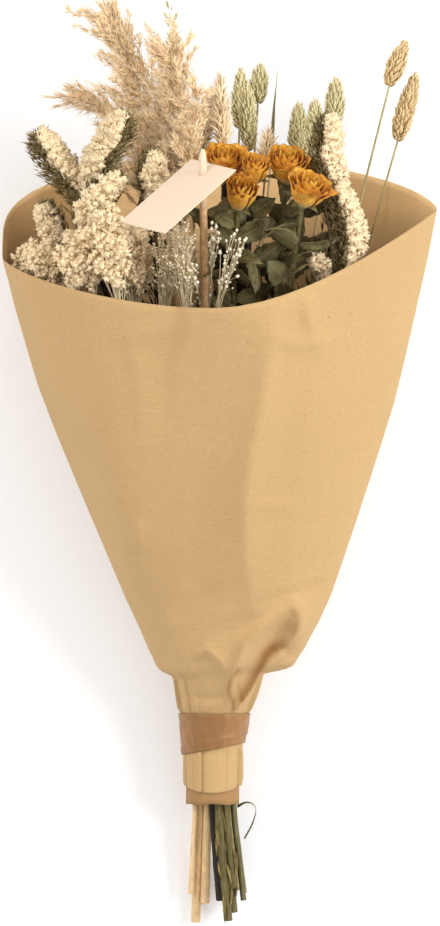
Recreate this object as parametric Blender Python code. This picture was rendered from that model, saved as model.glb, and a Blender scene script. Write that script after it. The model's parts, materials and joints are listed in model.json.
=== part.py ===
"""Mixed dried-flower bouquet in a kraft-paper wrap, lying on its back.

Metres, +Z up. The bunch lies along Y, flowers towards +Y and cut ends towards -Y. The paper's underside is
flattened at z = 0. Every cut stem is one solid, lofted through upright circles: its cut end, the neck where
all the stems are bound, and its head. Points in the plan tables below are in millimetres.
"""

import math

import bmesh
import bpy
import numpy as np
from mathutils import Matrix, Vector

MM = 0.001
CLEARANCE = 0.35 * MM  # free room between neighbouring pieces

# The axis of the bunch rises towards the flowers, because the wide mouth of the paper lifts it.
AXIS_X = -5.6 * MM
AXIS_RISE = 0.184
AXIS_Z_AT_NECK = 37.6 * MM
NECK_TOP = -172 * MM  # the stems fan out above this
NECK_FOOT = -227 * MM  # the cut ends fan out below this
BUNCH_RADIUS = 16.4 * MM

PAPER_WALL = 1.0 * MM
PAPER_SIDES = 48
BAND_TOP, BAND_FOOT, BAND_WALL = -176 * MM, -224.5 * MM, 0.8 * MM
TAPE_TOP, TAPE_FOOT, TAPE_WALL = -164 * MM, -187.5 * MM, 0.8 * MM
TAPE_SLANT = 4 * MM  # the tape's lower edge is this much higher at the right and lower at the left

STEM_SIDES = 8
HEAD_SIDES = 10

PICK_RADIUS = 2.5 * MM
PICK_TIP = (-11.7 * MM, 201 * MM)
PICK_RISE = 0.394
CARD_WIDTH, CARD_LENGTH, CARD_WALL = 44 * MM, 68 * MM, 0.8 * MM
CARD_ACROSS, CARD_DOWN = (28, -8, 32), (-45.5, -41, 29)  # directions of its short and its long side
CARD_HOLE = (0.48, 0.14)  # place of the hole, as shares of the card's width and length
CARD_HOLE_RADIUS = 3.0 * MM
CARD_BELOW_TIP = 15 * MM


# ------------------------------------------------------------------ what grows

# Outlines of the heads: share of the head's length, share of its radius.
PLUME = ((0.0, 0.25), (0.2, 0.8), (0.45, 1.0), (0.7, 0.8), (0.9, 0.4), (1.0, 0.1))
SPIKE = ((0.0, 0.35), (0.15, 0.8), (0.4, 1.0), (0.7, 0.88), (0.9, 0.5), (1.0, 0.15))
COLUMN = ((0.0, 0.35), (0.15, 0.85), (0.5, 1.0), (0.85, 0.9), (1.0, 0.4))
SPRAY = ((0.0, 0.3), (0.3, 0.6), (0.6, 0.9), (0.85, 1.0), (1.0, 0.5))
CUP = ((0.0, 0.4), (0.25, 0.8), (0.55, 1.0), (0.85, 0.95), (1.0, 0.6))
BLADE = ((0.0, 1.0), (0.5, 0.8), (1.0, 0.3))

# Kind: stem radius in mm, outline of the head, colour.
KINDS = {
    "reed_plume": (2.7, PLUME, (0.62, 0.42, 0.22)),
    "statice": (1.7, COLUMN, (0.85, 0.74, 0.52)),
    "sea_lavender": (1.2, SPRAY, (0.88, 0.78, 0.58)),
    "gypsophila": (1.0, SPRAY, (0.80, 0.76, 0.66)),
    "broom_bloom": (1.0, SPRAY, (0.95, 0.92, 0.85)),
    "canary_grass": (0.95, SPIKE, (0.50, 0.47, 0.26)),
    "foxtail": (0.9, SPIKE, (0.78, 0.56, 0.34)),
    "oat_grass": (0.8, BLADE, (0.70, 0.60, 0.36)),
    "grass_blade": (0.9, BLADE, (0.45, 0.42, 0.26)),
    "dry_twig": (0.9, BLADE, (0.12, 0.07, 0.03)),
    "rose": (2.4, CUP, (0.72, 0.36, 0.04)),
}

# Kind, rise (height gained for each unit of length from the neck on), radius of the head, where the stem is
# cut, and the plan points (x, y) from the foot of the head to its tip. All but the rise are in mm.
SHORT, LONGEST = -218, -303
ARRANGEMENT = (
    ("reed_plume", 0.140, 14, LONGEST, ((-36, 185), (-46, 224), (-59, 263), (-77, 296))),
    ("reed_plume", 0.200, 13, -290, ((-27, 185), (-28, 224), (-30, 250), (-32, 272))),
    ("reed_plume", 0.060, 7, -291, ((-48, 191), (-64, 225), (-80, 236), (-98, 243))),
    ("reed_plume", 0.270, 4, SHORT, ((-20, 200), (-17, 224), (-16, 243))),
    ("oat_grass", 0.100, 1, SHORT, ((-25, 204), (-29, 263), (-34, 298))),
    ("statice", 0.240, 9.5, -284, ((-82, 162), (-95, 181), (-108, 198), (-119, 214))),
    ("statice", 0.275, 9.5, SHORT, ((-79, 172), (-79, 191), (-71, 211), (-62, 225))),
    ("statice", 0.260, 9, SHORT, ((-46, 165), (-46, 185), (-40, 201))),
    ("statice", 0.330, 8, SHORT, ((-85, 149), (-88, 162), (-79, 175), (-67, 186))),
    ("statice", 0.220, 8, SHORT, ((-105, 139), (-111, 155), (-112, 168))),
    ("statice", 0.360, 9.5, -283, ((81, 113), (87, 136), (85, 155), (81, 178))),
    ("statice", 0.300, 9, -288, ((74, 152), (76, 185), (74, 204), (66, 224))),
    ("statice", 0.360, 6, SHORT, ((64, 116), (58, 131), (51, 136))),
    ("sea_lavender", 0.300, 9, SHORT, ((-95, 113), (-108, 129), (-122, 139))),
    ("sea_lavender", 0.390, 11, SHORT, ((-82, 107), (-88, 129), (-92, 146))),
    ("sea_lavender", 0.440, 10, SHORT, ((-66, 103), (-72, 136), (-75, 162))),
    ("sea_lavender", 0.340, 10, SHORT, ((-56, 101), (-56, 129), (-58, 149))),
    ("sea_lavender", 0.180, 6, SHORT, ((-108, 118), (-117, 127), (-129, 136))),
    ("gypsophila", 0.390, 6, SHORT, ((-40, 100), (-36, 126), (-32, 149))),
    ("gypsophila", 0.440, 6, SHORT, ((-23, 100), (-23, 133), (-27, 155))),
    ("broom_bloom", 0.420, 5, SHORT, ((-14, 99), (-5, 129), (-4, 153))),
    ("broom_bloom", 0.450, 6, SHORT, ((-4, 99), (3, 126), (11, 147))),
    ("broom_bloom", 0.465, 5, SHORT, ((-10, 97), (-14, 113), (-16, 127))),
    ("canary_grass", 0.060, 6, -282, ((110, 249), (121, 277))),
    ("canary_grass", 0.030, 6.5, SHORT, ((116, 214), (128, 256))),
    ("canary_grass", 0.160, 6.5, -278, ((73, 220), (75, 251))),
    ("canary_grass", 0.140, 5.5, SHORT, ((49, 204), (51, 235))),
    ("canary_grass", 0.200, 5.5, SHORT, ((60, 204), (61, 236))),
    ("canary_grass", 0.100, 6, SHORT, ((24, 237), (26, 261))),
    ("canary_grass", 0.150, 5, SHORT, ((12, 220), (13, 257))),
    ("canary_grass", 0.200, 5, SHORT, ((18, 205), (17, 246))),
    ("canary_grass", 0.080, 5.5, SHORT, ((54, 194), (55, 224))),
    ("foxtail", 0.240, 7, SHORT, ((1, 207), (-1, 252))),
    ("foxtail", 0.220, 4, SHORT, ((-12, 204), (-6, 243))),
    ("foxtail", 0.230, 6, SHORT, ((29, 196), (31, 217))),
    ("grass_blade", 0.120, 1, SHORT, ((33, 204), (37, 257))),
    ("dry_twig", 0.400, 1, SHORT, ((73, 126), (66, 170))),
    ("rose", 0.300, 13, -288, ((2, 185), (4, 204))),
    ("rose", 0.340, 9.2, -291, ((21, 181), (22, 198))),
    ("rose", 0.380, 10.5, -301, ((12, 163), (13, 184))),
    ("rose", 0.305, 12.5, -296, ((41, 182), (44, 203))),
    ("rose", 0.385, 13, -279, ((53, 167), (58, 186))),
    ("rose", 0.270, 7, SHORT, ((57, 182), (60, 197))),
)

# Leafy stretch of a rose stem: share of the free stem, radius in mm.
ROSE_LEAVES = ((0.70, 2.0), (0.76, 6.0), (0.88, 6.0), (0.93, 2.0))

# At the cut ends the bunch parts into two: the left-hand stems hang straight, the right-hand ones splay.
PARTING = -6.5 * MM
SPLAY_LEFT, SPLAY_RIGHT = -0.02, 0.085  # sideways drift for each unit of length past the neck
SPREAD = 0.20  # widening of the bunch over the length of the cut ends
CUT_SWELL = 1.15  # a stem is this much thicker at its cut end than in the neck
HEAD_TAPER = 0.75  # and this much of its thickness there is left under its head
HEAD_STEP = 2.0 * MM  # length over which the bare stem widens into the head's foot

# Route of the dried leaf beside the cut ends, in mm: x, y, height above the axis.
LEAF_RADIUS = 0.7 * MM
LOOP_LEAF = ((11.2, -226.2, 0), (17, -222.5, 2), (22.5, -225, 3), (21.5, -235, 3), (15.5, -247, 2))


def axis_z(y):
    return AXIS_Z_AT_NECK + AXIS_RISE * (y - NECK_TOP)


# ------------------------------------------------------------------ the sheet of paper

# Outline of the paper at stations along the bunch, in mm: y, left edge, right edge, half of its depth.
PAPER_STATIONS = (
    (-222.0, -24.6, 13.4, 18.9),
    (-190.0, -24.8, 13.8, 19.1),
    (-165.0, -26.6, 18.0, 22.4),
    (-152.0, -29.6, 24.3, 26.0),
    (-139.5, -32.6, 29.2, 31.0),
    (-133.0, -38.0, 41.5, 35.5),
    (-119.0, -47.5, 54.5, 39.5),
    (-102.5, -55.0, 63.8, 43.0),
    (-86.0, -62.6, 71.0, 46.5),
    (45.0, -115.8, 113.0, 80.0),
    (134.0, -143.0, 134.6, 102.0),
    (165.0, -145.0, 140.8, 110.0),
)
# Stations of the gathered neck; above the last one the paper opens into a straight cone.
NECK_STATIONS = (-222.0, -206.0, -190.0, -178.0, -165.0, -152.0, -139.5, -133.0, -119.0, -102.5, -86.0)
CONE_STEPS = 8


def paper_section(y):
    """Left edge, right edge, half depth and corner exponent of the paper at station y."""
    stations = np.array(PAPER_STATIONS) * MM
    left, right, depth = (np.interp(y, stations[:, 0], stations[:, k]) for k in (1, 2, 3))
    opening = min(1.0, max(0.0, (y - NECK_STATIONS[-1] * MM) / (250 * MM)))
    return left, right, depth, 2.0 - 0.25 * opening


def paper_point(y, angle):
    """The point of the paper's outer face at station y; angle 0 is the right edge, a quarter turn the front."""
    left, right, depth, corner = paper_section(y)
    across, up = math.cos(angle), math.sin(angle)
    middle = (left + right) / 2
    x = middle + (right - left) / 2 * math.copysign(abs(across) ** (2 / corner), across)
    z = axis_z(y) + depth * math.copysign(abs(up) ** (2 / corner), up)
    return Vector((x, y, max(z, 0.0)))


def paper_rim(angle):
    """Station of the paper's upper edge: low in front, high behind, with its two corners at the sides."""
    up = abs(math.sin(angle))
    front = math.sin(angle) > 0
    if math.cos(angle) >= 0:
        return (165 - 66 * up**1.9 if front else 165 + 39 * up**1.16) * MM
    return (134 - 35 * up**1.3 if front else 134 + 70 * up**0.63) * MM


# ------------------------------------------------------------------ shared helpers


def clear_scene():
    for found in list(bpy.data.objects):
        bpy.data.objects.remove(found, do_unlink=True)


def material(name, colour, roughness):
    made = bpy.data.materials.get(name) or bpy.data.materials.new(name)
    made.use_nodes = True
    shader = made.node_tree.nodes["Principled BSDF"]
    shader.inputs["Base Color"].default_value = (*colour, 1)
    shader.inputs["Roughness"].default_value = roughness
    shader.inputs["Metallic"].default_value = 0
    return made


def add_object(name, data, finish):
    made = bpy.data.objects.new(name, data)
    bpy.context.collection.objects.link(made)
    data.materials.append(finish)
    return made


def mesh_from(name, shape):
    """Turns a bmesh into a mesh whose faces point out and whose round sides are shaded smooth."""
    bmesh.ops.recalc_face_normals(shape, faces=shape.faces)
    mesh = bpy.data.meshes.new(name)
    shape.to_mesh(mesh)
    shape.free()
    mesh.shade_smooth()
    mesh.set_sharp_from_angle(angle=math.radians(50))
    return mesh


def lofted(name, rings, sides):
    """A solid bridged through upright circles, each (x, y, z, radius), with both ends capped."""
    shape = bmesh.new()
    loops = []
    for index, (x, y, z, radius) in enumerate(rings):
        place = Matrix.Translation((x, y, z)) @ Matrix.Rotation(math.radians(90), 4, "X")
        is_end = index in (0, len(rings) - 1)
        circle = bmesh.ops.create_circle(
            shape, cap_ends=is_end, segments=sides, radius=radius, matrix=place
        )
        loops.append(list({edge for vert in circle["verts"] for edge in vert.link_edges}))
    for lower, upper in zip(loops, loops[1:]):
        bmesh.ops.bridge_loops(shape, edges=lower + upper)
    return mesh_from(name, shape)


# ------------------------------------------------------------------ the stems


def rise_to(y, rise):
    """Height of a stem that leaves the neck with this rise."""
    return AXIS_Z_AT_NECK + rise * (y - NECK_TOP)


def clear_of_each_other(slots, radii):
    """Pushes overlapping stems apart in the round neck; returns the places and whether all are clear."""
    rooms = radii[:, None] + radii[None, :] + CLEARANCE
    np.fill_diagonal(rooms, 0)
    overlap = np.zeros_like(rooms)
    for _ in range(600):
        offsets = slots[:, None] - slots[None, :]
        distances = np.maximum(np.linalg.norm(offsets, axis=2), 1e-7)
        overlap = np.maximum(rooms - distances, 0)
        if overlap.max() < 1e-6:
            break
        slots = slots + 0.3 * (offsets / distances[..., None] * overlap[..., None]).sum(axis=1)
        reach = np.linalg.norm(slots, axis=1)
        limit = BUNCH_RADIUS - radii
        slots = slots * np.minimum(1, limit / np.maximum(reach, 1e-7))[:, None]
    return slots, overlap.max()


def neck_slots(directions, radii):
    """Places of the stems in the neck, relative to the axis, in the same order as they fan out above it."""
    directions = directions - directions.mean(axis=0)
    slots = directions * (BUNCH_RADIUS / np.abs(directions).max())
    for _ in range(30):
        slots, _ = clear_of_each_other(slots, radii)
        crossed = crossed_pairs(slots, directions)
        if not crossed:
            break
        for one, other in crossed:
            slots[[one, other]] = slots[[other, one]]
    slots, overlap = clear_of_each_other(slots, radii)
    if overlap > 0.1 * CLEARANCE:
        raise ValueError(f"the stems overlap by {overlap / MM:.2f} mm in the neck")
    return slots


def crossed_pairs(slots, directions):
    """Pairs that would get nearer to each other above the neck, each stem in one pair at most."""
    pairs, used = [], set()
    for one in range(len(slots)):
        for other in range(one):
            nearing = (slots[one] - slots[other]) @ (directions[one] - directions[other]) < 0
            if nearing and not {one, other} & used:
                pairs.append((one, other))
                used |= {one, other}
    return pairs


def head_rings(plan, rise, radius, outline, stem_radius):
    """Circles of a head whose middle follows the plan points, from the bare stem at its foot to its tip."""
    xs, ys = (np.array(plan) * MM).T
    rings = [(float(xs[0]), float(ys[0]) - HEAD_STEP, rise_to(ys[0] - HEAD_STEP, rise), stem_radius)]
    for along, share in outline:
        y = ys[0] + along * (ys[-1] - ys[0])
        rings.append((float(np.interp(y, ys, xs)), y, rise_to(y, rise), max(share * radius, 0.3 * MM)))
    return rings


def cut_end(slot, y, drift, droop):
    """The centre of a stem at its cut end, carried on below the neck."""
    below = NECK_FOOT - y
    widening = 1 + SPREAD * max(0.0, below) / (NECK_FOOT - LONGEST * MM)
    x = AXIS_X + slot[0] * widening + drift * max(0.0, below)
    return x, y, axis_z(y) + slot[1] * widening - droop * max(0.0, below)


def build_stems():
    kinds = [KINDS[row[0]] for row in ARRANGEMENT]
    radii = np.array([kind[0] for kind in kinds] + [PICK_RADIUS / MM]) * MM
    feet = [(row[4][0][0] * MM, row[4][0][1] * MM, row[1]) for row in ARRANGEMENT]
    feet.append((*PICK_TIP, PICK_RISE))
    directions = np.array([((x - AXIS_X) / (y - NECK_TOP), rise - AXIS_RISE) for x, y, rise in feet])
    slots = neck_slots(directions, radii)
    names = [row[0] for row in ARRANGEMENT]
    ends = [cut_end(slot, row[3] * MM, 0, 0)[2] for row, slot in zip(ARRANGEMENT, slots)]
    droop = min(
        (z - kind[0] * MM * CUT_SWELL) / (NECK_FOOT - row[3] * MM)
        for row, kind, z in zip(ARRANGEMENT, kinds, ends)
        if row[3] != SHORT
    )
    for place, (row, kind, slot) in enumerate(zip(ARRANGEMENT, kinds, slots)):
        number = f"_{names[: place + 1].count(row[0])}" if names.count(row[0]) > 1 else ""
        build_stem(row[0] + number, row, kind, slot, droop)
    return build_pick(slots[-1])


def build_stem(name, row, kind, slot, droop):
    """One cut stem with its head."""
    _, rise, head_radius, cut, plan = row
    stem_radius, outline, colour = kind[0] * MM, kind[1], kind[2]
    head = head_rings(plan, rise, head_radius * MM, outline, stem_radius * HEAD_TAPER)
    drift = SPLAY_LEFT if AXIS_X + slot[0] < PARTING else SPLAY_RIGHT
    neck_foot = max(NECK_FOOT, cut * MM + 12 * MM)
    swell = 1 if cut == SHORT else CUT_SWELL
    rings = [(*cut_end(slot, cut * MM, drift, droop), stem_radius * swell)]
    for y in (neck_foot, NECK_TOP):
        rings.append((AXIS_X + slot[0], y, axis_z(y) + slot[1], stem_radius))
    start, foot = Vector(rings[-1][:3]), Vector(head[0][:3])
    if name.startswith("rose"):
        for share, radius in ROSE_LEAVES:
            rings.append((*start.lerp(foot, share), radius * MM))
    sides = HEAD_SIDES if head_radius > 4 else STEM_SIDES
    add_object(name, lofted(name, rings + head, sides), material(row[0], colour, 0.85))


def build_pick(slot):
    """The wooden pick; returns the point where the card is pushed onto it."""
    x, y = PICK_TIP
    foot_y, shoulder_y = BAND_FOOT + 12 * MM, y - 4 * MM
    neck = Vector((AXIS_X + slot[0], NECK_TOP, axis_z(NECK_TOP) + slot[1]))
    shoulder = Vector((x, shoulder_y, rise_to(shoulder_y, PICK_RISE)))
    rings = [
        (neck.x, foot_y, axis_z(foot_y) + slot[1], PICK_RADIUS),
        (*neck, PICK_RADIUS),
        (*shoulder, PICK_RADIUS),
        (x, y, rise_to(y, PICK_RISE), PICK_RADIUS * 0.6),
    ]
    add_object("tag_pick", lofted("tag_pick", rings, 12), material("wood", (0.62, 0.44, 0.26), 0.7))
    return neck.lerp(shoulder, (y - CARD_BELOW_TIP - neck.y) / (shoulder.y - neck.y))


def build_card(pierced):
    """The bare card, pushed onto the pick near its upper edge and leaning back over the flowers."""
    across = Vector(CARD_ACROSS).normalized()
    down = Vector(CARD_DOWN)
    down = (down - across * down.dot(across)).normalized()
    corner = pierced - across * CARD_HOLE[0] * CARD_WIDTH - down * CARD_HOLE[1] * CARD_LENGTH
    shape = bmesh.new()
    steps = ((0, 0), (CARD_WIDTH, 0), (CARD_WIDTH, CARD_LENGTH), (0, CARD_LENGTH))
    outline = [shape.verts.new(corner + across * a + down * d) for a, d in steps]
    edges = [shape.edges.new(pair) for pair in zip(outline, outline[1:] + outline[:1])]
    turned = Matrix((across, down, across.cross(down))).transposed().to_4x4()
    place = Matrix.Translation(pierced) @ turned
    hole = bmesh.ops.create_circle(shape, segments=16, radius=CARD_HOLE_RADIUS, matrix=place)
    edges += list({edge for vert in hole["verts"] for edge in vert.link_edges})
    bmesh.ops.triangle_fill(shape, edges=edges, use_beauty=True)
    mesh = mesh_from("tag_card", shape)
    card = add_object("tag_card", mesh, material("card", (0.95, 0.84, 0.70), 0.6))
    wall = card.modifiers.new("thickness", "SOLIDIFY")
    wall.thickness, wall.offset = CARD_WALL, 0


# ------------------------------------------------------------------ paper, tape and bands


def sleeve(name, rows, wall, finish):
    """A wall of paper or tape through closed rows of points; its thickness lies inside them."""
    shape = bmesh.new()
    grid = [[shape.verts.new(point) for point in row] for row in rows]
    count = len(rows[0])
    for lower, upper in zip(grid, grid[1:]):
        for side in range(count):
            after = (side + 1) % count
            shape.faces.new((lower[side], lower[after], upper[after], upper[side]))
    made = add_object(name, mesh_from(name, shape), finish)
    thickness = made.modifiers.new("thickness", "SOLIDIFY")
    thickness.thickness, thickness.offset = wall, inward_offset(made.data)


def inward_offset(mesh):
    """Solidify's offset that grows the wall towards the axis of the bunch."""
    face = mesh.polygons[0]
    outwards = face.center - Vector((AXIS_X, face.center.y, axis_z(face.center.y)))
    return -1 if face.normal.dot(outwards) > 0 else 1


def turns(count):
    return [2 * math.pi * side / count for side in range(count)]


def build_wrap():
    """The sheet of kraft paper: a plain tube at the neck, then a cone up to the slanting rim."""
    around = turns(PAPER_SIDES)
    shoulder = NECK_STATIONS[-1] * MM
    rows = [[paper_point(y * MM, turn) for turn in around] for y in NECK_STATIONS]
    for step in range(1, CONE_STEPS + 1):
        share = step / CONE_STEPS
        rows.append([paper_point(shoulder + share * (paper_rim(turn) - shoulder), turn) for turn in around])
    sleeve("paper_wrap", rows, PAPER_WALL, material("kraft_paper", (0.72, 0.50, 0.27), 0.85))


def build_tape():
    """Brown paper tape round the outside of the neck, its lower edge slanting."""
    rows = []
    for share in (0, 0.5, 1):
        row = []
        for turn in turns(PAPER_SIDES):
            foot = TAPE_FOOT + TAPE_SLANT * math.cos(turn)
            on_paper = paper_point(foot + share * (TAPE_TOP - foot), turn)
            left, right, _, _ = paper_section(on_paper.y)
            middle = Vector(((left + right) / 2, on_paper.y, axis_z(on_paper.y)))
            outwards = (on_paper - middle).normalized()
            row.append(on_paper + outwards * (CLEARANCE + TAPE_WALL))
        rows.append(row)
    sleeve("neck_tape", rows, TAPE_WALL, material("paper_tape", (0.42, 0.22, 0.09), 0.6))


def build_band():
    """The band that binds the bare stems, under the paper."""
    reach = BUNCH_RADIUS + CLEARANCE + BAND_WALL
    rows = []
    for y in (BAND_FOOT, BAND_TOP):
        row = [
            (AXIS_X + reach * math.cos(turn), y, axis_z(y) + reach * math.sin(turn))
            for turn in turns(PAPER_SIDES)
        ]
        rows.append(row)
    sleeve("stem_band", rows, BAND_WALL, material("paper_tape", (0.42, 0.22, 0.09), 0.6))


def build_loop_leaf():
    """A dried leaf that curls out beside the cut ends."""
    curve = bpy.data.curves.new("loop_leaf", "CURVE")
    curve.dimensions = "3D"
    curve.bevel_depth, curve.bevel_resolution, curve.resolution_u = LEAF_RADIUS, 2, 4
    curve.use_fill_caps = True
    spline = curve.splines.new("BEZIER")
    spline.bezier_points.add(len(LOOP_LEAF) - 1)
    for point, (x, y, above_axis) in zip(spline.bezier_points, LOOP_LEAF):
        point.co = (x * MM, y * MM, axis_z(y * MM) + above_axis * MM)
        point.handle_left_type = point.handle_right_type = "AUTO"
    add_object("loop_leaf", curve, material("dry_leaf", (0.22, 0.18, 0.07), 0.8))


# ------------------------------------------------------------------ the bouquet


def points_of(found, graph):
    """The corners of a piece's final mesh, in the world."""
    shown = found.evaluated_get(graph)
    points = [found.matrix_world @ vert.co for vert in shown.to_mesh().vertices]
    shown.to_mesh_clear()
    return points


def stand_at_origin():
    """Hangs every piece on one empty, and moves that to put the middle of the bouquet's underside at 0."""
    bpy.context.view_layer.update()
    pieces = list(bpy.context.scene.objects)
    graph = bpy.context.evaluated_depsgraph_get()
    points = [point for piece in pieces for point in points_of(piece, graph)]
    low = Vector([min(point[axis] for point in points) for axis in range(3)])
    high = Vector([max(point[axis] for point in points) for axis in range(3)])
    bouquet = bpy.data.objects.new("bouquet", None)
    bpy.context.collection.objects.link(bouquet)
    for piece in pieces:
        piece.parent = bouquet
    bouquet.location = (-(low.x + high.x) / 2, -(low.y + high.y) / 2, -low.z)


def main():
    clear_scene()
    build_card(build_stems())
    build_wrap()
    build_tape()
    build_band()
    build_loop_leaf()
    stand_at_origin()


main()
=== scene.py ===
import functools
import json
import math

import bpy
import numpy as np
from bpy.props import FloatProperty, FloatVectorProperty, IntProperty, PointerProperty
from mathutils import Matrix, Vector
from mathutils.bvhtree import BVHTree

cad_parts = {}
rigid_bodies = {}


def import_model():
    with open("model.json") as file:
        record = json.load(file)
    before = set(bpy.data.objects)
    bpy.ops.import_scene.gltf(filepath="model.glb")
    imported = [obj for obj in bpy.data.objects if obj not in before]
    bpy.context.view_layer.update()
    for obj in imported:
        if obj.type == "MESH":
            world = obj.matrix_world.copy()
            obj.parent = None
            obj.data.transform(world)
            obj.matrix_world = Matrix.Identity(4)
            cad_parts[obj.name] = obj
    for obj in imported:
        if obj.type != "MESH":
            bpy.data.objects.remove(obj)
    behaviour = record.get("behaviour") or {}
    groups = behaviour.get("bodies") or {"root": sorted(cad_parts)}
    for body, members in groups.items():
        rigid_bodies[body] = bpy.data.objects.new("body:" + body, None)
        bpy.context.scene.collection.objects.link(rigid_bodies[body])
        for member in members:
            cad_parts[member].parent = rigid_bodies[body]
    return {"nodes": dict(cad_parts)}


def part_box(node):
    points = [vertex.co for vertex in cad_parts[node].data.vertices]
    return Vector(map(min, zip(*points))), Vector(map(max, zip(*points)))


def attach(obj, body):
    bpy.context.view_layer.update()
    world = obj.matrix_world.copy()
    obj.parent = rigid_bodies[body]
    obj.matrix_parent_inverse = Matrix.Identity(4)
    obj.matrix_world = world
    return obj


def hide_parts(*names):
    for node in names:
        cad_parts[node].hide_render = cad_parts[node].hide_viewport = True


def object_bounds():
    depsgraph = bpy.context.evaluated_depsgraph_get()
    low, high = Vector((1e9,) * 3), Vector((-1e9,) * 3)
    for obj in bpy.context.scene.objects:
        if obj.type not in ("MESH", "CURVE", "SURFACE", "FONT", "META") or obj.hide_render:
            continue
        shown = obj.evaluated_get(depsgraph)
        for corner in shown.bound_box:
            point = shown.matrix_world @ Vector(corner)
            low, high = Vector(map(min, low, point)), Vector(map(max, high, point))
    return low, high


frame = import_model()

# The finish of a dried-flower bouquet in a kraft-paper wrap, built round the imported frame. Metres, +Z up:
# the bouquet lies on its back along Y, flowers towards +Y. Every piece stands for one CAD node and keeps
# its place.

bl_info = {
    "name": "Dried flower bouquet",
    "version": (1, 0, 0),
    "blender": (4, 5, 0),
    "location": "3D View > Sidebar > Bouquet",
    "description": "Builds a bound bunch of dried flowers in a cone of kraft paper",
    "category": "Add Mesh",
}

MM = 0.001
BODY = "root"
CAD_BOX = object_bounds()
GOLDEN_TURN = math.pi * (3 - math.sqrt(5))  # between one leaf and the next up a stem
NO_SAG = (0, 0, 0)


def tone(code):
    """A linear colour from a web code."""
    parts = [int(code[at : at + 2], 16) / 255 for at in (1, 3, 5)]
    return tuple(part / 12.92 if part <= 0.04045 else ((part + 0.055) / 1.055) ** 2.4 for part in parts)


# ------------------------------------------------------------------ settings


def colour_setting(name, description, code):
    return FloatVectorProperty(
        name=name, description=description, default=tone(code), size=3, min=0, max=1, subtype="COLOR"
    )


def length_setting(name, description, millimetres):
    return FloatProperty(name=name, description=description, default=millimetres * MM, min=0, unit="LENGTH")


class StageSettings(bpy.types.PropertyGroup):
    camera_height: FloatProperty(
        name="Camera height", description="Height of the camera above the floor", default=5.1, unit="LENGTH"
    )
    key_strength: FloatProperty(
        name="Key light", description="Power of the soft light at the right", default=58.0, unit="POWER"
    )
    sky_strength: FloatProperty(
        name="Fill", description="Brightness of the light from all round", default=0.81
    )
    floor: colour_setting("Floor", "Colour of the plain floor", "#f9fbff")


class PaperSettings(bpy.types.PropertyGroup):
    sheet: length_setting("Sheet", "Thickness of the kraft paper", 0.35)
    crease: FloatProperty(name="Creases", description="Height of the creases against the usual", default=1.0)
    outside: colour_setting("Outside", "Colour of the paper's outside", "#c19f6f")
    # the inside's colour is brighter than the outside's: painted light standing in for light that shines
    # through the thin paper
    inside: colour_setting("Inside", "Colour of the paper's inside", "#ffd49a")
    tape: colour_setting("Tape", "Colour of the tape round the neck", "#93683c")


class PlumeSettings(bpy.types.PropertyGroup):
    branches: IntProperty(name="Branches", description="Side branches of a full plume", default=74, min=3)
    spikelet: length_setting("Spikelet", "Length of one spikelet", 6.2)
    colour: colour_setting("Colour", "Colour of the plume", "#ffddb0")
    straw: colour_setting("Straw", "Colour of the reed's stem", "#ebc896")


class FlowerSettings(bpy.types.PropertyGroup):
    statice: length_setting("Statice floret", "Width of one papery statice floret", 4.0)
    lavender: length_setting("Sea lavender floret", "Width of one sea-lavender floret", 3.9)
    bud: length_setting("Broom bud", "Length of one broom-bloom bud", 2.6)
    cream: colour_setting("Cream", "Colour of the papery florets", "#ffe7bf")
    bract: colour_setting("Bracts", "Colour of the scaly bracts under the florets", "#79673f")


class GrassSettings(bpy.types.PropertyGroup):
    glume: length_setting("Glume", "Length of one scale of a canary-grass spike", 5.6)
    glumes: IntProperty(name="Glumes", description="Scales on one canary-grass spike", default=240, min=10)
    sage: colour_setting("Canary grass", "Colour of the canary-grass spikes", "#d3c898")
    peach: colour_setting("Foxtail", "Colour of the foxtail spikes", "#f6dfba")


class RoseSettings(bpy.types.PropertyGroup):
    petals: IntProperty(name="Petals", description="Petals of one rose", default=22, min=5)
    leaves: IntProperty(name="Leaves", description="Leaves on one rose stem", default=15, min=0)
    petal: colour_setting("Petals", "Colour of the dried petals", "#dc9c2c")
    leaf: colour_setting("Leaves", "Colour of the dried leaves", "#6e653f")


class CardSettings(bpy.types.PropertyGroup):
    card: colour_setting("Card", "Colour of the bare card", "#e4ceb6")
    wood: colour_setting("Pick", "Colour of the wooden pick", "#caa377")


SETTINGS = {
    "stage": StageSettings,
    "paper": PaperSettings,
    "plume": PlumeSettings,
    "flower": FlowerSettings,
    "grass": GrassSettings,
    "rose": RoseSettings,
    "card": CardSettings,
}


class BouquetSettings(bpy.types.PropertyGroup):
    stage: PointerProperty(type=StageSettings, name="Stage", description="Floor, lights and camera")
    paper: PointerProperty(type=PaperSettings, name="Paper", description="The wrap and its tape")
    plume: PointerProperty(type=PlumeSettings, name="Plumes", description="The reed plumes")
    flower: PointerProperty(
        type=FlowerSettings, name="Small flowers", description="The papery small flowers"
    )
    grass: PointerProperty(type=GrassSettings, name="Grasses", description="The grass spikes")
    rose: PointerProperty(type=RoseSettings, name="Roses", description="The dried roses")
    card: PointerProperty(type=CardSettings, name="Card", description="The card and its pick")


# ------------------------------------------------------------------ node trees

TINT_SEED = 7


def add(tree, kind, inputs=None, **settings):
    """Adds a node to a tree; an input gets a value or another node's output."""
    node = tree.nodes.new(kind)
    for name, value in settings.items():
        setattr(node, name, value)
    for name, value in (inputs or {}).items():
        if isinstance(value, bpy.types.NodeSocket):
            tree.links.new(value, node.inputs[name])
        else:
            node.inputs[name].default_value = value
    return node


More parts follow.
